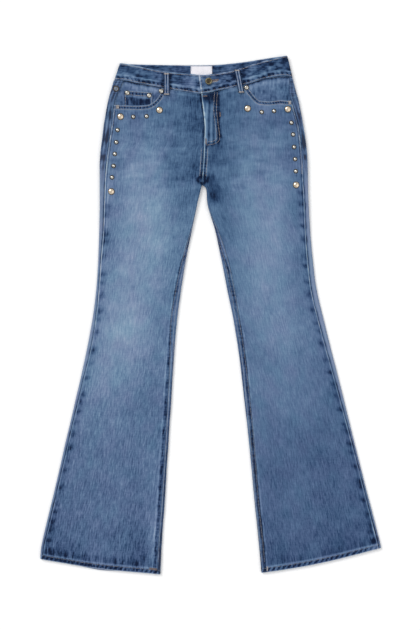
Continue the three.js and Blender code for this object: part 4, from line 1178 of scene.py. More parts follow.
# Darker patches and lighter creases on the front of the band: x, y, half width, half height, lean, fade
bandMarks = [
    (-174, 519, 17, 4.5, -0.1, -0.20), (-186, 513.4, 11, 1.3, -0.25, 0.22),
    (-167, 507.5, 9, 1.3, -0.5, 0.20), (-152, 496, 3.0, 6.0, 0.3, -0.28), (-143, 494, 2.6, 5.5, 0.4, -0.26),
    (-133, 492, 3.2, 5.0, 0.3, -0.28), (-123, 489, 3.0, 4.5, 0.3, -0.22), (-138, 499, 16, 1.2, -0.15, 0.16),
    (169, 499, 4.5, 5.0, 0.0, -0.34), (23, 489, 12, 1.6, 0.9, 0.24), (29, 486.5, 11, 1.8, 0.8, -0.20),
    (38, 498, 9, 1.6, 0.75, 0.18), (44, 495, 9, 1.8, 0.7, -0.18), (112, 519, 9, 2.0, 0.7, -0.16),
    (126, 524, 10, 1.6, 0.7, 0.14), (140, 522, 8, 2.4, 0.6, -0.18), (152, 531, 9, 1.6, 0.5, 0.14),
    (158, 520, 8, 2.2, 0.5, -0.16), (60, 503, 4.0, 8.0, 0.2, -0.12), (32, 495, 7.0, 2.0, 0.6, -0.18),
    (22, 488, 8.0, 1.4, 0.8, 0.14), (10, 484, 8.0, 2.2, 0.3, -0.22), (-30, 496, 3.0, 8.0, 0.1, -0.10),
    (-62, 488, 4.0, 6.0, 0.3, -0.10),
]


# Places along the upper and lower edges of the band, from its end on top round the back to the end below
def bandEdge(level, front, back, over):
    tube = tubeAt("right", np.array([level]), band=True)
    half = float(tube["half"][0])
    quarter = float(tube["quarter"][0])
    stations = [float(arcOfTop(tube, over)[0]), half - quarter, half + quarter, 2 * half - quarter,
                2 * half + quarter, 2 * half + float(arcOfTop(tube, bandEnd["under"])[0])]
    return {"tube": tube, "front": front, "back": back, "stations": stations}


def bandEdges():
    top = bandEdge(bandSettings["topLevel"], frontTop, backTop, bandEnd["over"][0])
    seam = bandEdge(bandSettings["seamLevel"], frontSeam, backSeam, bandEnd["over"][1])
    counts = [max(8, int(length / bandSettings["step"])) for length in np.diff(top["stations"])]
    inset = 1.1
    for edge in (top, seam):
        first, *inner, last = edge["stations"]
        stations = [first + inset, *inner, last - inset]
        arcs = [np.array([first, first + 0.4, first + inset])]
        for start, end, count in zip(stations, stations[1:], counts):
            arcs.append(np.linspace(start, end, count + 1)[1:])
        arcs.append(last - np.array([0.4, 0.0]))
        edge["arcs"] = np.concatenate(arcs)
        at = onTube(edge["tube"], edge["arcs"])
        share = np.where(at["flat"], at["over"].astype(float), at["share"])
        edge["y"] = blend(edge["back"](at["x"]), edge["front"](at["x"]), share)
        edge["at"] = at
    return top, seam


# The waistband goes once round, and its upper end laps over the other at the fly
def waistband():
    top, seam = bandEdges()
    down = columnShares(bandSettings["rows"], 4, 0.34)[None, :]
    x = blend(top["at"]["x"][:, None], seam["at"]["x"][:, None], down)
    fromTop = (top["y"] - seam["y"])[:, None] * down
    y = top["y"][:, None] - fromTop
    rise = y - seam["y"][:, None]
    arc = top["arcs"][:, None] + 0 * down
    onFront = arc < top["stations"][1] + 3
    onLeft = arc > top["stations"][4] - 3
    under = ~(top["at"]["over"][:, None] | onLeft)
    lapLift = np.where(onFront, bandEnd["lift"] * (1 - smooth(bandEnd["under"] + 4, bandEnd["ramp"], x)), 0)
    edgeAway = np.minimum(fromTop, rise)
    endAway = np.minimum(arc - arc[0], arc[-1] - arc)
    wrinkle = bandSettings["wrinkle"] * softNoise(x + 0.8 * y, y - 0.5 * x, 11, 71)
    wrinkle += 0.3 * softNoise(x + 0.5 * y, y, 6, 72)
    small = puckers(np.abs(rise), x, 73, 6, 9)
    relief = wrinkle * smooth(0, 4, edgeAway) - 0.30 * bell(edgeAway - 2.6, 1.3) - 0.5 * small
    relief = np.where(under, np.clip(relief - 0.2, -1.2, 0.2), np.clip(relief, -0.7, 1.2))
    relief = np.where(top["at"]["flat"][:, None], relief, np.clip(relief, -0.3, 0.3))
    pinch = roundedEdge(np.minimum(edgeAway, endAway), cloth["doubled"])
    grids = []
    for depth in (pinch - relief, cloth["doubled"] - pinch * 0.9 - relief):
        upper = onTube(top["tube"], top["arcs"][:, None], depth)
        lower = onTube(seam["tube"], seam["arcs"][:, None], depth)
        gridX = blend(upper["x"], lower["x"], down)
        grids.append(stack(gridX, y, blend(upper["z"], lower["z"], down) + lapLift))
    # the tone: a cloudy wash, with patches and creases on the front, worn edges, and painted shade on the
    # band beside the front loops
    tone = np.where(under, 0.34, 0.41) + 0.22 * softNoise(x * 0.7, y, 9, 74) + 0.10 * softNoise(x, y, 22, 75)
    tone += 0.20 * softNoise(x, y * 1.5, 5.0, 79) + 0.16 * relief
    onView = 0.10 * smooth(-10, 20, x) + 0.01 * smooth(40, 110, x)
    # painted shade beside each front loop
    onView += 0.38 * sum(bell(x - place, width) for place, width in bandLoopShadows)
    for markX, markY, wide, tall, lean, change in bandMarks:
        onView -= change * bell(x - markX, wide) * bell(y - markY - lean * (x - markX), tall)
    tone -= np.where(under, 0.08 * bell(x - 4, 70), onView)
    tone += wornEdge(fromTop, x, 0.55, 76, 1.8) - 0.12 * small - 0.14 * bell(fromTop - 5.0, 1.6)
    bars = barsAlong(x + 0.5 * rise, 9.4, 4.0 * lineNoise(x, 21, 77)) ** 1.6
    tone += 0.36 * bell(rise - 1.0, 1.5) + 0.44 * bell(rise - 10.4, 1.8)
    tone += bell(rise - 5.4, 3.2) * (0.16 - 0.70 * bars) + wornEdge(endAway - 0.6, y, 0.9, 78, 1.7)
    grain = np.stack([y + grainShifts["band"], arc], axis=-1)
    return clothMesh("waistbandCloth", *grids, grain, tone, denim, inside=0.0)


print("waistband")
band = waistband()


# A flat patch over a grid of places; top gives its upper face, or its lower face when it is seen from below
def patch(name, x, y, top, wall, lightness, material, grainShift, inside=1.0, below=False, grainScale=1.0):
    edgeAway = np.full(x.shape, 9.0)
    for axis in (0, 1):
        steps = np.hypot(np.diff(x, axis=axis), np.diff(y, axis=axis))
        run = np.insert(np.cumsum(steps, axis=axis), 0, 0.0, axis=axis)
        edgeAway = nearest(edgeAway, run, run.max(axis=axis, keepdims=True) - run)
    pinch = roundedEdge(edgeAway, wall)
    face = stack(x, y, top - pinch)
    back = stack(x, y, top - wall + pinch * 0.9)
    if below:
        face, back = stack(x, y, top + pinch), stack(x, y, top + wall - pinch * 0.9)
    grain = np.stack([x * grainScale + grainShift, y], axis=-1)
    return clothMesh(name, face, back, grain, lightness, material, inside)


# Grid of places between two sides and two edges, each edge a level or a curve
def rectangle(fromX, toX, upper, lower, columns, rows):
    across = columnShares(columns, 3, 0.3)
    down = columnShares(rows, 3, 0.3)
    x = np.broadcast_to(blend(fromX, toX, across)[None, :], (rows + 1, columns + 1)).copy()
    top, foot = (edge(x) if callable(edge) else edge for edge in (upper, lower))
    return x, blend(top, foot, down[:, None]) + 0 * x


# Heights of the faces that lie one below another
panelFace = heights["seatBase"] + heights["seat"]
bandFace = heights["bandBase"] + heights["band"]
facingFace = panelFace - cloth["layer"] - gap
sunkFace = facingFace - cloth["layer"] - gap


def belowBand(x):
    return np.minimum(frontSeam(x), backSeam(x)) - 2 * gap


facingSettings = {
    "left": {"innerX": -88.0, "foot": 424.0, "face": sunkFace, "tone": 0.47},
    "right": {"innerX": 60.0, "foot": 432.0, "face": facingFace, "tone": 0.44},
    "outerX": 165.0, "columns": 54, "rows": 34, "wall": 1.1,
}


# Cloth that shows inside a pocket's mouth
def pocketFacing(side):
    own = facingSettings[side]
    sign = sideSign[side]
    innerX = own["innerX"]
    farX = sign * facingSettings["outerX"]
    x, y = rectangle(farX, innerX, belowBand, own["foot"], facingSettings["columns"], facingSettings["rows"])
    # its outer edge is hidden below the strip outside the outseam
    outerX = outline[side]["outer"](y) - sign * (outline[side]["outseam"](y) - 5)
    x = innerX + (x - innerX) / (farX - innerX) * (outerX - innerX)
    y = blend(belowBand(x), y, smooth(0, 1, (y[:1] - y) / (y[:1] - y[-1:])))
    soft = np.clip(0.16 * softNoise(x, y, 16, 81) + 0.08 * softNoise(x, y, 7, 82) - 0.12, -0.25, 0.1)
    below = belowBand(x) - y
    bars = barsAlong(x, 8.6, 3.0 * lineNoise(x, 19, 89))
    lightness = own["tone"] + 0.12 * softNoise(x, y, 10, 84) + 0.08 * softNoise(x, y, 4, 85)
    lightness -= 0.22 * puckers(below, x, 83, 6, 8)
    # a paler band a few millimetres below the waistband is a painted highlight, made strong enough to lift
    # the shade that the band casts; a darker line lies just under the band
    lightness += 0.34 * bell(below - 7.5, 6) * (1 - 0.5 * bars) - 0.26 * bell(below - 1.0, 2.2)
    name = "pocketFacing" + side.capitalize()
    return patch(name, x, y, own["face"] + soft, facingSettings["wall"], lightness, denim, grainShifts["facing"],
                 grainScale=0.45)


facings = {side: pocketFacing(side) for side in ("left", "right")}

coinSettings = {
    "left": -183.0, "right": -123.0, "leftTop": 477.5, "rightTop": 473.0, "foot": 426.0,
    # unfaded blocks below the hem and a rubbed line: place, half width, half height, change of fade
    "blocks": [(-178, 454, 4.5, 9.5, -0.26), (-167, 454, 3.2, 9.5, -0.28),
               (-143, 451.5, 13.0, 6.5, -0.28), (-146, 460.5, 11.0, 1.6, 0.18)],
}


def coinUpper(x):
    across = (x - coinSettings["left"]) / (coinSettings["right"] - coinSettings["left"])
    return blend(coinSettings["leftTop"], coinSettings["rightTop"], across)


def coinPocket():
    x, y = rectangle(coinSettings["left"], coinSettings["right"], coinUpper, coinSettings["foot"], 40, 36)
    away = coinUpper(x) - y
    bars = barsAlong(x, 6.4, 1.5 * lineNoise(x, 12, 86))
    lightness = 0.44 + 0.08 * softNoise(x, y, 8, 87) - (0.12 + 0.38 * bars) * bell(away - 6.2, 3.6)
    lightness += 0.30 * bell(away - 0.6, 1.4) + 0.20 * bell(away - 12.0, 1.4)
    # dark streaks down the lower part
    lightness -= 0.30 * np.clip(softNoise(x, y * 0.2, 4.5, 88) + 0.2, 0, 1) * smooth(12, 16, away)
    for blockX, blockY, halfWide, halfHigh, change in coinSettings["blocks"]:
        block = bell((x - blockX) ** 2 / halfWide, halfWide) * bell((y - blockY) ** 2 / halfHigh, halfHigh)
        lightness += change * block
    relief = 0.12 * (1 - smooth(10.5, 12.5, away)) * (1 + bars) - 0.1
    return patch("coinPocket", x, y, facingFace + relief, cloth["layer"], lightness, denim, grainShifts["coin"])


coin = coinPocket()

loopSettings = {"width": 12.4, "wall": 1.6, "bulge": 1.4, "tableGap": 0.3}
# Each loop's name, node, middle, lean, top and foot
frontLoops = [
    ("beltLoopFrontLeft", "belt_loop_front_left", -93.2, 0.0, 513.0, 466.0),
    ("beltLoopFrontRight", "belt_loop_front_right", 60.6, 9.5, 520.0, 470.5),
]
backLoops = [
    ("beltLoopBackCentre", "belt_loop_back_centre", centreBack, 0.0, 529.0, 484.0),
    ("beltLoopBackLeft", "belt_loop_back_left", -128.0, 0.0, 530.0, 486.0),
    ("beltLoopBackRight", "belt_loop_back_right", 96.0, 0.0, 539.0, 492.0),
]


# A folded strip with a ridge down each side and a groove between them
def beltLoop(name, middle, lean, top, foot, below=False):
    across = (columnShares(15, 4, 0.35) * 2 - 1)[None, :]
    up = columnShares(40, 4, 0.5)[:, None]
    x = middle + lean * (0.5 - up) + across * loopSettings["width"] / 2
    y = foot + (top - foot) * up + 0 * x
    place = np.abs(across)
    ends = np.minimum(y - foot, top - y)
    edgeAway = np.minimum((1 - place) * loopSettings["width"] / 2, ends)
    # pale along its two stitched ridges and darker down the middle and near its ends; the darker sides are
    # painted shade
    tone = 0.40 + 0.50 * bell(place - 0.42, 0.15) - 0.34 * bell(place, 0.16) - 0.50 * smooth(0.60, 0.9, place)
    tone = tone - 0.34 * bell(ends - 1.8, 1.8) + 0.14 * softNoise(x, y, 5, 91)
    grain = np.stack([x + grainShifts["loop"], y], axis=-1)
    if below:
        wall = cloth["layer"]
        pinch = roundedEdge(edgeAway, wall)
        face = loopSettings["tableGap"] + pinch
        back = loopSettings["tableGap"] + wall - pinch * 0.9
    else:
        wall = loopSettings["wall"]
        pinch = roundedEdge(edgeAway, wall)
        # it leaves the panel, climbs over the band's seam and bulges over the band
        rises = [panelFace + 1.5, panelFace + 1.9, bandFace + 2.0, bandFace + 1.5 + loopSettings["bulge"],
                 bandFace + 2.3, bandFace + 1.5]
        base = np.interp(up, [0, 0.14, 0.26, 0.5, 0.8, 1], rises)
        ridge = 0.28 * bell(place - 0.44, 0.2) - 0.2 * bell(across, 0.25)
        face = base + wall - pinch + ridge
        back = base + pinch * 0.9
    return clothMesh(name, stack(x, y, face), stack(x, y, back), grain, tone, denim, 0.4)


loops = {}
for loopRows, below in ((frontLoops, False), (backLoops, True)):
    for name, node, middle, lean, top, foot in loopRows:
        loops[node] = beltLoop(name, middle, lean, top, foot, below)


# Five-sided patch pocket, below the back
def backPocket(side):
    centreX, topY = backPocketPlaces[side]
    size = backPocketSettings
    across = (columnShares(61, 4, 0.4) * 2 - 1)[None, :]
    down = columnShares(60, 5, 0.35)[:, None]
    depth = size["side"] + (size["point"] - size["side"]) * (1 - np.abs(across))
    below = down * depth
    half = size["half"] - size["taper"] * np.clip(below / size["side"], 0, 1)
    x = centreX + across * half
    y = topY - below
    edgeAway = nearest((1 - np.abs(across)) * half, below, depth - below)
    sewn = bell(edgeAway - 6.5, 2.0) * (below > 12)
    small = puckers(edgeAway, x + y, 93, 7, 8)
    bars = barsAlong(x + y, 8.2, 3 * softNoise(x, y, 16, 92))
    lightness = 0.52 + 0.16 * bell(x - centreX, 40) * bell(below - 70, 50) + 0.06 * softNoise(x, y, 22, 94)
    lightness += wornEdge(edgeAway, x + y, 0.46, 95, 1.5) - sewn * (0.04 + 0.24 * bars) - 0.14 * small
    lightness += 0.10 * softNoise(x, y, 9, 90)
    lightness += 0.16 * bell(below - 14.5, 1.4) - 0.22 * bell(below - 7, 4) * bars
    top = 0.30 + 0.10 * small + 0.08 * sewn
    shift = grainShifts["backPocket"] + centreX
    name = "backPocket" + side.capitalize()
    return patch(name, x, y, top, cloth["layer"], lightness, denim, shift, inside=0.6, below=True)


backPockets = {side: backPocket(side) for side in ("left", "right")}

# Bare woven label inside the back of the band
labelSettings = {"left": -42.0, "right": 3.2, "top": 527.9, "foot": 503.0, "wall": 1.0, "rise": 1.0}


def neckLabel():
    size = labelSettings
    x, y = rectangle(size["left"], size["right"], size["top"], size["foot"], 40, 24)
    top = heights["bandBase"] + cloth["doubled"] + gap + size["rise"]
    wave = 0.10 * np.sin((x - size["left"]) / 45 * math.pi * 3) + 0.06 * softNoise(x, y, 9, 96)
    shift = grainShifts["label"]
    return patch("bareLabel", x, y, top + wave, size["wall"], 0.5, woven["labelCloth"], shift, inside=0.0)


label = neckLabel()

tapeSettings = {"left": -30.0, "right": -4.0, "top": 463.0, "foot": 358.0}


# Zip tape that lies hidden behind the fly
def flyTape():
    size = tapeSettings
    x, y = rectangle(size["left"], size["right"], size["top"], size["foot"], 20, 60)
    top = facingFace - 0.02 + 0 * x
    shift = grainShifts["tape"]
    return patch("flyZipTape", x, y, top, cloth["layer"], 0.3, woven["zipTape"], shift, inside=0.0)


tape = flyTape()
print("pockets, loops, label and zip tape")
bpy.context.view_layer.update()


treeTypes = {"float": "NodeSocketFloat", "geometry": "NodeSocketGeometry", "material": "NodeSocketMaterial",
             "int": "NodeSocketInt"}


def newTree(name, inputs):
    tree = bpy.data.node_groups.new(name, "GeometryNodeTree")
    tree.interface.new_socket("Geometry", in_out="INPUT", socket_type=treeTypes["geometry"])
    for title, kind, value in inputs:
        socket = tree.interface.new_socket(title, in_out="INPUT", socket_type=treeTypes[kind])
        if value is not None:
            socket.default_value = value
    tree.interface.new_socket("Geometry", in_out="OUTPUT", socket_type=treeTypes["geometry"])
    source = tree.nodes.new("NodeGroupInput").outputs
    target = tree.nodes.new("NodeGroupOutput").inputs
    return tree, source, target


# Makes what stands on the points real, smooth and, where one is given, of one material
def finishTree(tree, target, points, instance, material=None, **placing):
    inputs = {"Points": points, "Instance": instance, **placing}
    placed = addNode(tree, "GeometryNodeInstanceOnPoints", inputs)
    real = addNode(tree, "GeometryNodeRealizeInstances", {"Geometry": placed.outputs[0]})
    final = addNode(tree, "GeometryNodeSetShadeSmooth", {"Geometry": real.outputs[0]})
    if material is not None:
        final = addNode(tree, "GeometryNodeSetMaterial", {"Geometry": final.outputs[0], "Material": material})
    tree.links.new(final.outputs[0], target[0])


# Rows of stitches along lines, each lying on the cloth below it
def stitchTree():
    tree, source, target = newTree("stitchRows", [
        ("Spacing", "float", 0.0032), ("Stitch Length", "float", 0.0024), ("Stitch Width", "float", 0.0007),
        ("Stitch Height", "float", 0.0004), ("Seed", "int", 4), ("Thread", "material", None)])
    line = addNode(tree, "GeometryNodeMeshToCurve", {"Mesh": source["Geometry"]})
    even = addNode(tree, "GeometryNodeResampleCurve", {"Curve": line.outputs[0], "Length": source["Spacing"]},
                   mode="LENGTH")
    ball = addNode(tree, "GeometryNodeMeshIcoSphere", {"Radius": 0.5, "Subdivisions": 1})
    size = addNode(tree, "ShaderNodeCombineXYZ",
                   {"X": source["Stitch Length"], "Y": source["Stitch Width"], "Z": source["Stitch Height"]})
    shaped = addNode(tree, "GeometryNodeTransform", {"Geometry": ball.outputs[0], "Scale": size.outputs[0]})
    tangent = addNode(tree, "GeometryNodeInputTangent")
    up = addNode(tree, "GeometryNodeInputNamedAttribute", {"Name": "up"}, data_type="FLOAT_VECTOR")
    along = addNode(tree, "FunctionNodeAlignRotationToVector", {"Vector": tangent.outputs[0]}, axis="X")
    turned = {"Rotation": along.outputs[0], "Vector": up.outputs["Attribute"]}
    lying = addNode(tree, "FunctionNodeAlignRotationToVector", turned, axis="Z", pivot_axis="X")
    # sockets 2 and 3 are the least and the most that a stitch's size is changed by
    spread = {2: 0.84, 3: 1.14, "Seed": source["Seed"]}
    chance = addNode(tree, "FunctionNodeRandomValue", spread, data_type="FLOAT")
    finishTree(tree, target, even.outputs[0], shaped.outputs[0], source["Thread"],
               Rotation=lying.outputs[0], Scale=chance.outputs[1])
    return tree


# Runs a tree on a piece and keeps the result as its plain mesh
def applyTree(piece, tree, values):
    modifier = piece.modifiers.new("tree", "NODES")
    modifier.node_group = tree
    identifiers = {item.name: item.identifier for item in tree.interface.items_tree if item.in_out == "INPUT"}
    for title, value in values.items():
        modifier[identifiers[title]] = value
    depsgraph = bpy.context.evaluated_depsgraph_get()
    made = bpy.data.meshes.new_from_object(piece.evaluated_get(depsgraph))
    piece.modifiers.remove(modifier)
    piece.data = made
    made.name = piece.name
    return piece


surfaces = {}
for piece in [*fronts.values(), *backs.values(), *yokes.values(), band, *facings.values(), coin, label,
              *loops.values(), *backPockets.values()]:
    surfaces[piece.name] = BVHTree.FromObject(piece, bpy.context.evaluated_depsgraph_get())


# Where a line lies on the first of the named pieces below it, or above it when seen from below
def laid(points, names, below=False, rise=0.10):
    placed = []
    start = -0.03 if below else 0.05
    direction = Vector((0, 0, 1 if below else -1))
    for x, y in points:
        found = None
        for name in names:
            hit, normal, _, _ = surfaces[name].ray_cast(Vector((x * milli, y * milli, start)), direction)
            if hit is not None and (found is None or (hit.z > found[0].z) != below):
                found = (hit, normal)
        if found is None:
            placed.append(None)
            continue
        hit, normal = found
        if (normal.z > 0) == below:
            normal = -normal
        spot = hit + normal * rise * milli
        if below:
            spot.z = max(spot.z, 0.0003)
        placed.append((spot, normal))
    return placed


threadRows = {"tan": [], "slate": [], "blue": [], "tanBar": [], "rustBar": []}
sewing = {"step": 1.1, "rise": 0.10, "jump": 0.004, "barStep": 0.55, "barRise": 0.22}


# A row of stitches, broken wherever the cloth below it ends or jumps
def sew(kind, points, names, below=False):
    run = []
    for place in laid(evenly(points, sewing["step"]), names, below, sewing["rise"]):
        jump = run and place is not None and (place[0] - run[-1][0]).length > sewing["jump"]
        if place is None or jump:
            if len(run) > 2:
                threadRows[kind].append(run)
            run = []
        if place is not None:
            run.append(place)
    if len(run) > 2:
        threadRows[kind].append(run)


# A straight or curved row at a distance from a curve
def sewBeside(kind, curve, distance, fromX, toX, names, count=80, below=False):
    sew(kind, [(x, float(curve(x)) + distance) for x in np.linspace(fromX, toX, count)], names, below)


# A dense zigzag bar between two places
def bartack(kind, start, end, width, names, below=False):
    start = np.array(start, float)
    end = np.array(end, float)
    run = end - start
    length = float(np.hypot(*run))
    across = np.array([-run[1], run[0]]) / length * width / 2
    count = max(6, int(length / sewing["barStep"]))
    points = [start + run * i / count + across * (1 if i % 2 else -1) for i in range(count + 1)]
    places = laid(points, names, below, sewing["barRise"])
    if all(place is not None for place in places):
        threadRows[kind + "Bar"].append(places)


topNames = [piece.name for piece in (*fronts.values(), *backs.values(), *yokes.values())]

# Waistband: one row along each edge, front and back
sewBeside("tan", frontTop, -2.8, -198, 160, [band.name])
sewBeside("tan", frontSeam, 2.8, -203, 172, [band.name])
sew("tan", [(-21.9, frontTop(-22) - 2.8), (-17.4, frontSeam(-18) + 2.8)], [band.name])
sewBeside("tan", backTop, -2.8, -192, 158, [band.name], below=True)
sewBeside("tan", backSeam, 2.8, -198, 168, [band.name], below=True)

# Pocket mouths: two rows
for side, sign in sideSign.items():
    mouth = evenly(pocketMouth[side], 2.0)
    for distance in (2.2, 8.4):
        sew("tan", beside(mouth, distance * sign)[1:-1], [fronts[side].name])

# Coin pocket: two rows under its upper edge, one down each side
for distance in (-2.4, -9.6):
    sewBeside("tan", coinUpper, distance, -181, -125, [coin.name], 14)
for x, top in ((-180.6, 473), (-125.4, 460)):
    sew("tan", [(x, top), (x, 430)], [coin.name])

# Fly: the curved double row, and the centre seam below it
flyLine = evenly(flyStitch, 2.0)
sew("tan", flyLine, [fronts["right"].name])
sew("tan", beside(flyLine, -6.0)[:-2], [fronts["right"].name])
centreRun = [(flyEdge(y), y) for y in np.linspace(352, 296, 18)]
sew("tan", beside(centreRun, 7.6), [fronts["right"].name])
sew("tan", beside(centreRun, -5.8), [fronts["left"].name])

# Inseams and outseams
for side in sideSign:
    ys = np.linspace(238, -522, 160)
    tube = tubeAt(side, ys)
    for distance in (1.4, 7.8):
        arcs = outline[side]["inseam"](ys) - distance
        at = onTube(tube, np.mod(arcs, 2 * tube["half"]))
        shown = (arcs > -1.5) & at["over"]
        sew("slate", list(zip(at["x"][shown], ys[shown])), [backs[side].name])
    ys = np.linspace(440, 300, 40)
    tube = tubeAt(side, ys)
    at = onTube(tube, outseamArc(tube, ys) - 3.0)
    sew("slate", list(zip(at["x"], ys)), [fronts[side].name])

# Hems: one row at the top of the turned band
for side, ends in {"left": (-359, -108), "right": (110, 359)}.items():
    for kind, over, names in (("slate", True, topNames), ("tan", False, [backs[side].name])):
        sewBeside(kind, lambda x: slanted(side, hemTop - 2.2, x, over), 0.0, *ends, names, 60, not over)

# Bars at the fly, the buttonhole, the ends of the pocket mouths and the hems: thread, ends and width
bars = [
    ("rust", (-10.0, 374), (-9.6, 362), 2.6, [fronts["right"].name]),
    ("rust", (20.0, 430), (20.5, 421), 2.4, [fronts["right"].name]),
    ("rust", (-17, 463.6), (-7.5, 464.4), 2.4, [fronts["right"].name]),
    ("rust", (1, 496.5), (17, 498.5), 3.4, [band.name]),
    ("tan", (2, 493.2), (14, 495.4), 1.6, [band.name]),
    ("tan", (-197.5, 445.0), (-197.0, 438.0), 6.0, topNames),
    ("tan", (167.0, 454.0), (168.0, 446.5), 5.0, topNames),
    ("tan", (-106.5, 477), (-98.5, 477.6), 2.4, topNames),
    ("rust", (-130, -537.0), (-114, -538.6), 4.6, topNames),
    ("tan", (120.5, -532.5), (120, -542), 2.2, topNames),
]
for bar in bars:
    bartack(*bar)

# Belt loops: two rows down each and a bar at each end
for loopRows, below in ((frontLoops, False), (backLoops, True)):
    for name, node, x, lean, top, foot in loopRows:
        footX = x + lean / 2
        topX = x - lean / 2
        for shift in (-2.7, 2.7):
            sew("tan", [(footX + shift, foot + 1), (topX + shift, top - 1)], [name], below)
        for barX, barY in ((footX, foot + 2.2), (topX, top - 2.2)):
            bartack("tan", (barX - 5, barY), (barX + 5, barY), 2.0, [name], below)

# Back: yoke, seat seam and pockets
for side, ends in {"left": (-205, -20), "right": (-14, 178)}.items():
    for distance in (2.0, 8.0):
        sewBeside("tan", yokeSeam, distance, *ends, [yokes[side].name], 40, True)
    for x in {"left": (), "right": (centreBack + 2.0, centreBack + 8.0)}[side]:
        sew("tan", [(x, 424), (x, 290)], [backs[side].name], below=True)
    centreX, topY = backPocketPlaces[side]
    for inset in (2.6, 8.6):
        corners = pocketOutline(side, inset)
        for pair in zip(corners[:-1], corners[1:]):
            sew("tan", pair, [backPockets[side].name], below=True)
    sew("tan", [(centreX - 71, topY - 13), (centreX + 71, topY - 13)], [backPockets[side].name], below=True)

# Label: tacked at its four corners
for x in (-40.4, 1.6):
    for top, foot in ((525.8, 519.5), (511, 505)):
        sew("blue", [(x, top), (x, foot)], [label.name])

# All rows of one thread, made into one piece
def threadPiece(name, runs, material, values):
    points = []
    ups = []
    links = []
    for run in runs:
        first = len(points)
        for place, up in run:
            points.append(tuple(place))
            ups.extend(up)
        links.extend((i, i + 1) for i in range(first, len(points) - 1))
    mesh = bpy.data.meshes.new(name)
    mesh.from_pydata(points, links, [])
    mesh.attributes.new("up", "FLOAT_VECTOR", "POINT").data.foreach_set("vector", ups)
    return applyTree(linked(name, mesh), stitches, {**values, "Thread": material})


print("stitches")
stitches = stitchTree()
plainStitch = {"Spacing": 0.0031, "Stitch Length": 0.0027, "Stitch Width": 0.0010, "Stitch Height": 0.0005,
               "Seed": 4}
barStitch = {"Spacing": 0.0011, "Stitch Length": 0.0021, "Stitch Width": 0.0006, "Stitch Height": 0.0006,
             "Seed": 5}
threads = [
    threadPiece("topstitching", threadRows["tan"], thread["tanThread"], plainStitch),
    threadPiece("seamStitches", threadRows["slate"], thread["slateThread"], plainStitch),
    threadPiece("labelTacks", threadRows["blue"], thread["paleBlueThread"], plainStitch),
    threadPiece("bartacksTan", threadRows["tanBar"], thread["tanThread"], barStitch),
    threadPiece("bartacksRust", threadRows["rustBar"], thread["rustThread"], barStitch),
]


# A domed stud with a rolled rim on each point
def studTree():
    tree, source, target = newTree("domedStuds", [
        ("Dome Radius", "float", 0.005), ("Dome Rise", "float", 0.003),
        ("Rim Radius", "float", 0.006), ("Rim Thickness", "float", 0.0007),
        ("Dome Metal", "material", None), ("Rim Metal", "material", None)])
    ball = addNode(tree, "GeometryNodeMeshUVSphere", {"Segments": 24, "Rings": 16, "Radius": 1.0})
    place = addNode(tree, "GeometryNodeInputPosition")
    parts = addNode(tree, "ShaderNodeSeparateXYZ", {"Vector": place.outputs[0]}).outputs
    # the lower half is pressed flat
    raised = mathNode(tree, "MAXIMUM", parts["Z"], -0.04)
    joined = addNode(tree, "ShaderNodeCombineXYZ", {"X": parts["X"], "Y": parts["Y"], "Z": raised})
    flattened = {"Geometry": ball.outputs[0], "Position": joined.outputs[0]}
    dome = addNode(tree, "GeometryNodeSetPosition", flattened)
    size = addNode(tree, "ShaderNodeCombineXYZ",
                   {"X": source["Dome Radius"], "Y": source["Dome Radius"], "Z": source["Dome Rise"]})
    scaled = addNode(tree, "GeometryNodeTransform", {"Geometry": dome.outputs[0], "Scale": size.outputs[0]})
    circles = []
    for count, radius in ((24, "Rim Radius"), (8, "Rim Thickness")):
        inputs = {"Resolution": count, "Radius": source[radius]}
        circles.append(addNode(tree, "GeometryNodeCurvePrimitiveCircle", inputs, mode="RADIUS").outputs[0])
    rim = addNode(tree, "GeometryNodeCurveToMesh", {"Curve": circles[0], "Profile Curve": circles[1]})
    both = addNode(tree, "GeometryNodeJoinGeometry")
    for shape, finish in ((scaled, "Dome Metal"), (rim, "Rim Metal")):
        inputs = {"Geometry": shape.outputs[0], "Material": source[finish]}
        dressed = addNode(tree, "GeometryNodeSetMaterial", inputs)
        tree.links.new(dressed.outputs[0], both.inputs[0])
    points = addNode(tree, "GeometryNodeMeshToPoints", {"Mesh": source["Geometry"]})
    finishTree(tree, target, points.outputs[0], both.outputs[0])
    return tree


studs = studTree()
# Each kind's nodes, the slot and metal of its domes, and the dome's radius and rise and the rim's radius
# and thickness in metres
studSettings = {
    "studsBig": ([f"stud_big_{i}" for i in range(1, 7)], "gold_metal", "champagneMetal",
                 (0.0065, 0.0034, 0.0067, 0.0006)),
    "studsSmall": ([f"stud_small_{i}" for i in range(1, 15)], "silver_metal", "silverMetal",
                   (0.0036, 0.0026, 0.0042, 0.0007)),
    # the pocket rivets' wide dark rim is painted shade round each rivet
    "pocketRivets": (["rivet_coin_left", "rivet_coin_right", "rivet_pocket_left", "rivet_pocket_right"],
                     "silver_metal", "silverMetal", (0.0039, 0.0007, 0.0047, 0.0006)),
}


# Middle of a node's box, at its foot
def footOf(node):
    low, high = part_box(node)
    return (low.x + high.x) / 2, (low.y + high.y) / 2, low.z


def studPiece(name, nodes, slot, domeMetal, sizes):
    points = []
    for node in nodes:
        x, y, _ = footOf(node)
        names = [coin.name] if "coin" in node else topNames
        ground, _ = laid([(x / milli, y / milli)], names, rise=0.0)[0]
        points.append((x, y, ground.z + 0.0001))
    mesh = bpy.data.meshes.new(name)
    mesh.from_pydata(points, [], [])
    piece = linked(name, mesh)
    values = dict(zip(("Dome Radius", "Dome Rise", "Rim Radius", "Rim Thickness"), sizes))
    # every rim is of dark metal; round the pocket rivets this dark ring is painted shade
    applyTree(piece, studs, {**values, "Dome Metal": metal[domeMetal], "Rim Metal": metal["darkMetal"]})
    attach(piece, "root")
    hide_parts(*nodes)


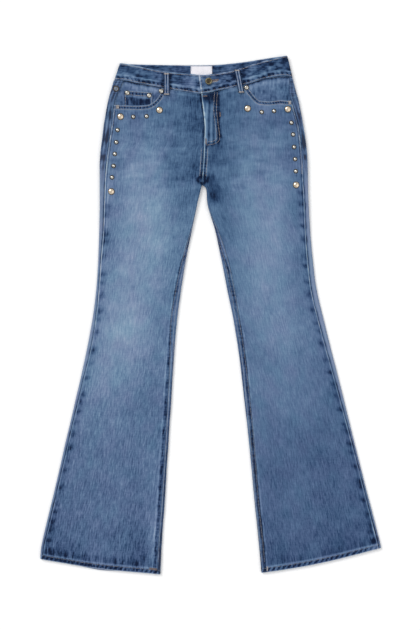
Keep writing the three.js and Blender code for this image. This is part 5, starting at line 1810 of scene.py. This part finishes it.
# Profiles from the middle of the foot, over the rim, to the middle of the top: radius, height, and whether
# the ring that starts there is of the second metal
turnedSettings = {
    "sideRivet": {
        "node": "rivet_side", "segments": 32, "metals": ("darkMetal", "dullMetal"),
        "profile": [(0, 0, 0), (6.2, 0, 0), (6.6, 0.4, 0), (6.4, 1.1, 0), (5.4, 1.4, 0), (4.4, 1.0, 1),
                    (3.4, 0.8, 1), (1.6, 1.1, 1), (0, 1.3, 1)],
    },
    "shankButton": {
        "node": "button", "segments": 40, "metals": ("buttonBrass", "darkMetal"),
        "profile": [(0, 0, 1), (4, 0, 1), (4, 1.4, 1), (6.9, 1.6, 0), (7.4, 2.2, 0), (7.4, 3.0, 0),
                    (7.0, 3.7, 0), (6.0, 4.2, 0), (5.0, 4.0, 1), (4.3, 3.2, 1), (3.4, 2.9, 1),
                    (1.8, 3.2, 1), (0, 3.4, 1)],
    },
}


def turnedPiece(name, settings):
    centre = Vector(footOf(settings["node"]))
    segments = settings["segments"]
    profile = settings["profile"]
    rings = []
    points = []
    for radius, height, _ in profile:
        # a ring at the middle is one point, so that the pole is closed
        count = segments if radius else 1
        rings.append([len(points) + i % count for i in range(segments)])
        for i in range(count):
            angle = 2 * math.pi * i / segments
            spot = Vector((radius * math.cos(angle), radius * math.sin(angle), height))
            points.append(centre + spot * milli)
    faces = []
    slots = []
    for here, after, (_, _, second) in zip(rings, rings[1:], profile):
        for i in range(segments):
            j = (i + 1) % segments
            faces.append(list(dict.fromkeys((here[i], here[j], after[j], after[i]))))
            slots.append(second)
    mesh = bpy.data.meshes.new(name)
    mesh.from_pydata(points, [], faces)
    for finish in settings["metals"]:
        mesh.materials.append(metal[finish])
    mesh.polygons.foreach_set("material_index", slots)
    mesh.shade_smooth()
    piece = linked(name, mesh)
    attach(piece, "root")
    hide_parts(settings["node"])


print("studs, rivets and button")
for name, settings in studSettings.items():
    studPiece(name, *settings)
for name, settings in turnedSettings.items():
    turnedPiece(name, settings)

# Hide the model's parts that the cloth pieces stand for
for side in ("left", "right"):
    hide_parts("front_" + side)
    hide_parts("back_" + side)
    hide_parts("yoke_" + side)
    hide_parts("pocket_facing_" + side)
    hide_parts("back_pocket_" + side)
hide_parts("waistband")
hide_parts("coin_pocket")
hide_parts("neck_label")
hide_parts("fly_zip")
for node, piece in loops.items():
    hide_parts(node)

denimPieces = [*fronts.values(), *backs.values(), *yokes.values(), *facings.values(), *backPockets.values(),
               band, coin, *loops.values(), *threads]
for slot, pieces in {"denim": denimPieces, "label_cloth": [label], "zip_tape": [tape]}.items():
    for piece in pieces:
        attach(piece, "root")
# Pale floor, just below the cloth
floorSettings = {"reach": 40.0, "level": -0.0004}
floorFinish = {"Base Color": (0.98, 0.98, 0.98, 1), "Roughness": 0.9, "Specular IOR Level": 0.1}
floorCorners = []
for x, y in ((-1, -1), (1, -1), (1, 1), (-1, 1)):
    floorCorners.append((x * floorSettings["reach"], y * floorSettings["reach"], floorSettings["level"]))
floorMesh = bpy.data.meshes.new("floor")
floorMesh.from_pydata(floorCorners, [], [(0, 1, 2, 3)])
floor = linked("floor", floorMesh)
floorMaterial, _, floorShader = newMaterial("paleFloor")
for name, value in floorFinish.items():
    floorShader.inputs[name].default_value = value
floorMesh.materials.append(floorMaterial)

lightSettings = {
    "sky": 0.62,
    "key": {"energy": 1.58, "spread": 30, "from": (-0.64, 0.62, 0.76)},
    "fill": {"energy": 0.55, "spread": 60, "from": (0.7, -0.2, 1.0)},
}
world = bpy.data.worlds.new("studio")
scene.world = world
world.use_nodes = True
sky = world.node_tree.nodes["Background"]
sky.inputs["Color"].default_value = (1, 1, 1, 1)
sky.inputs["Strength"].default_value = lightSettings["sky"]
for name in ("key", "fill"):
    settings = lightSettings[name]
    data = bpy.data.lights.new(name, "SUN")
    data.energy = settings["energy"]
    data.angle = math.radians(settings["spread"])
    lamp = linked(name, data)
    lamp.rotation_mode = "QUATERNION"
    lamp.rotation_quaternion = Vector(settings["from"]).to_track_quat("Z", "Y")
scene.view_settings.view_transform = "Standard"
print("floor and light")
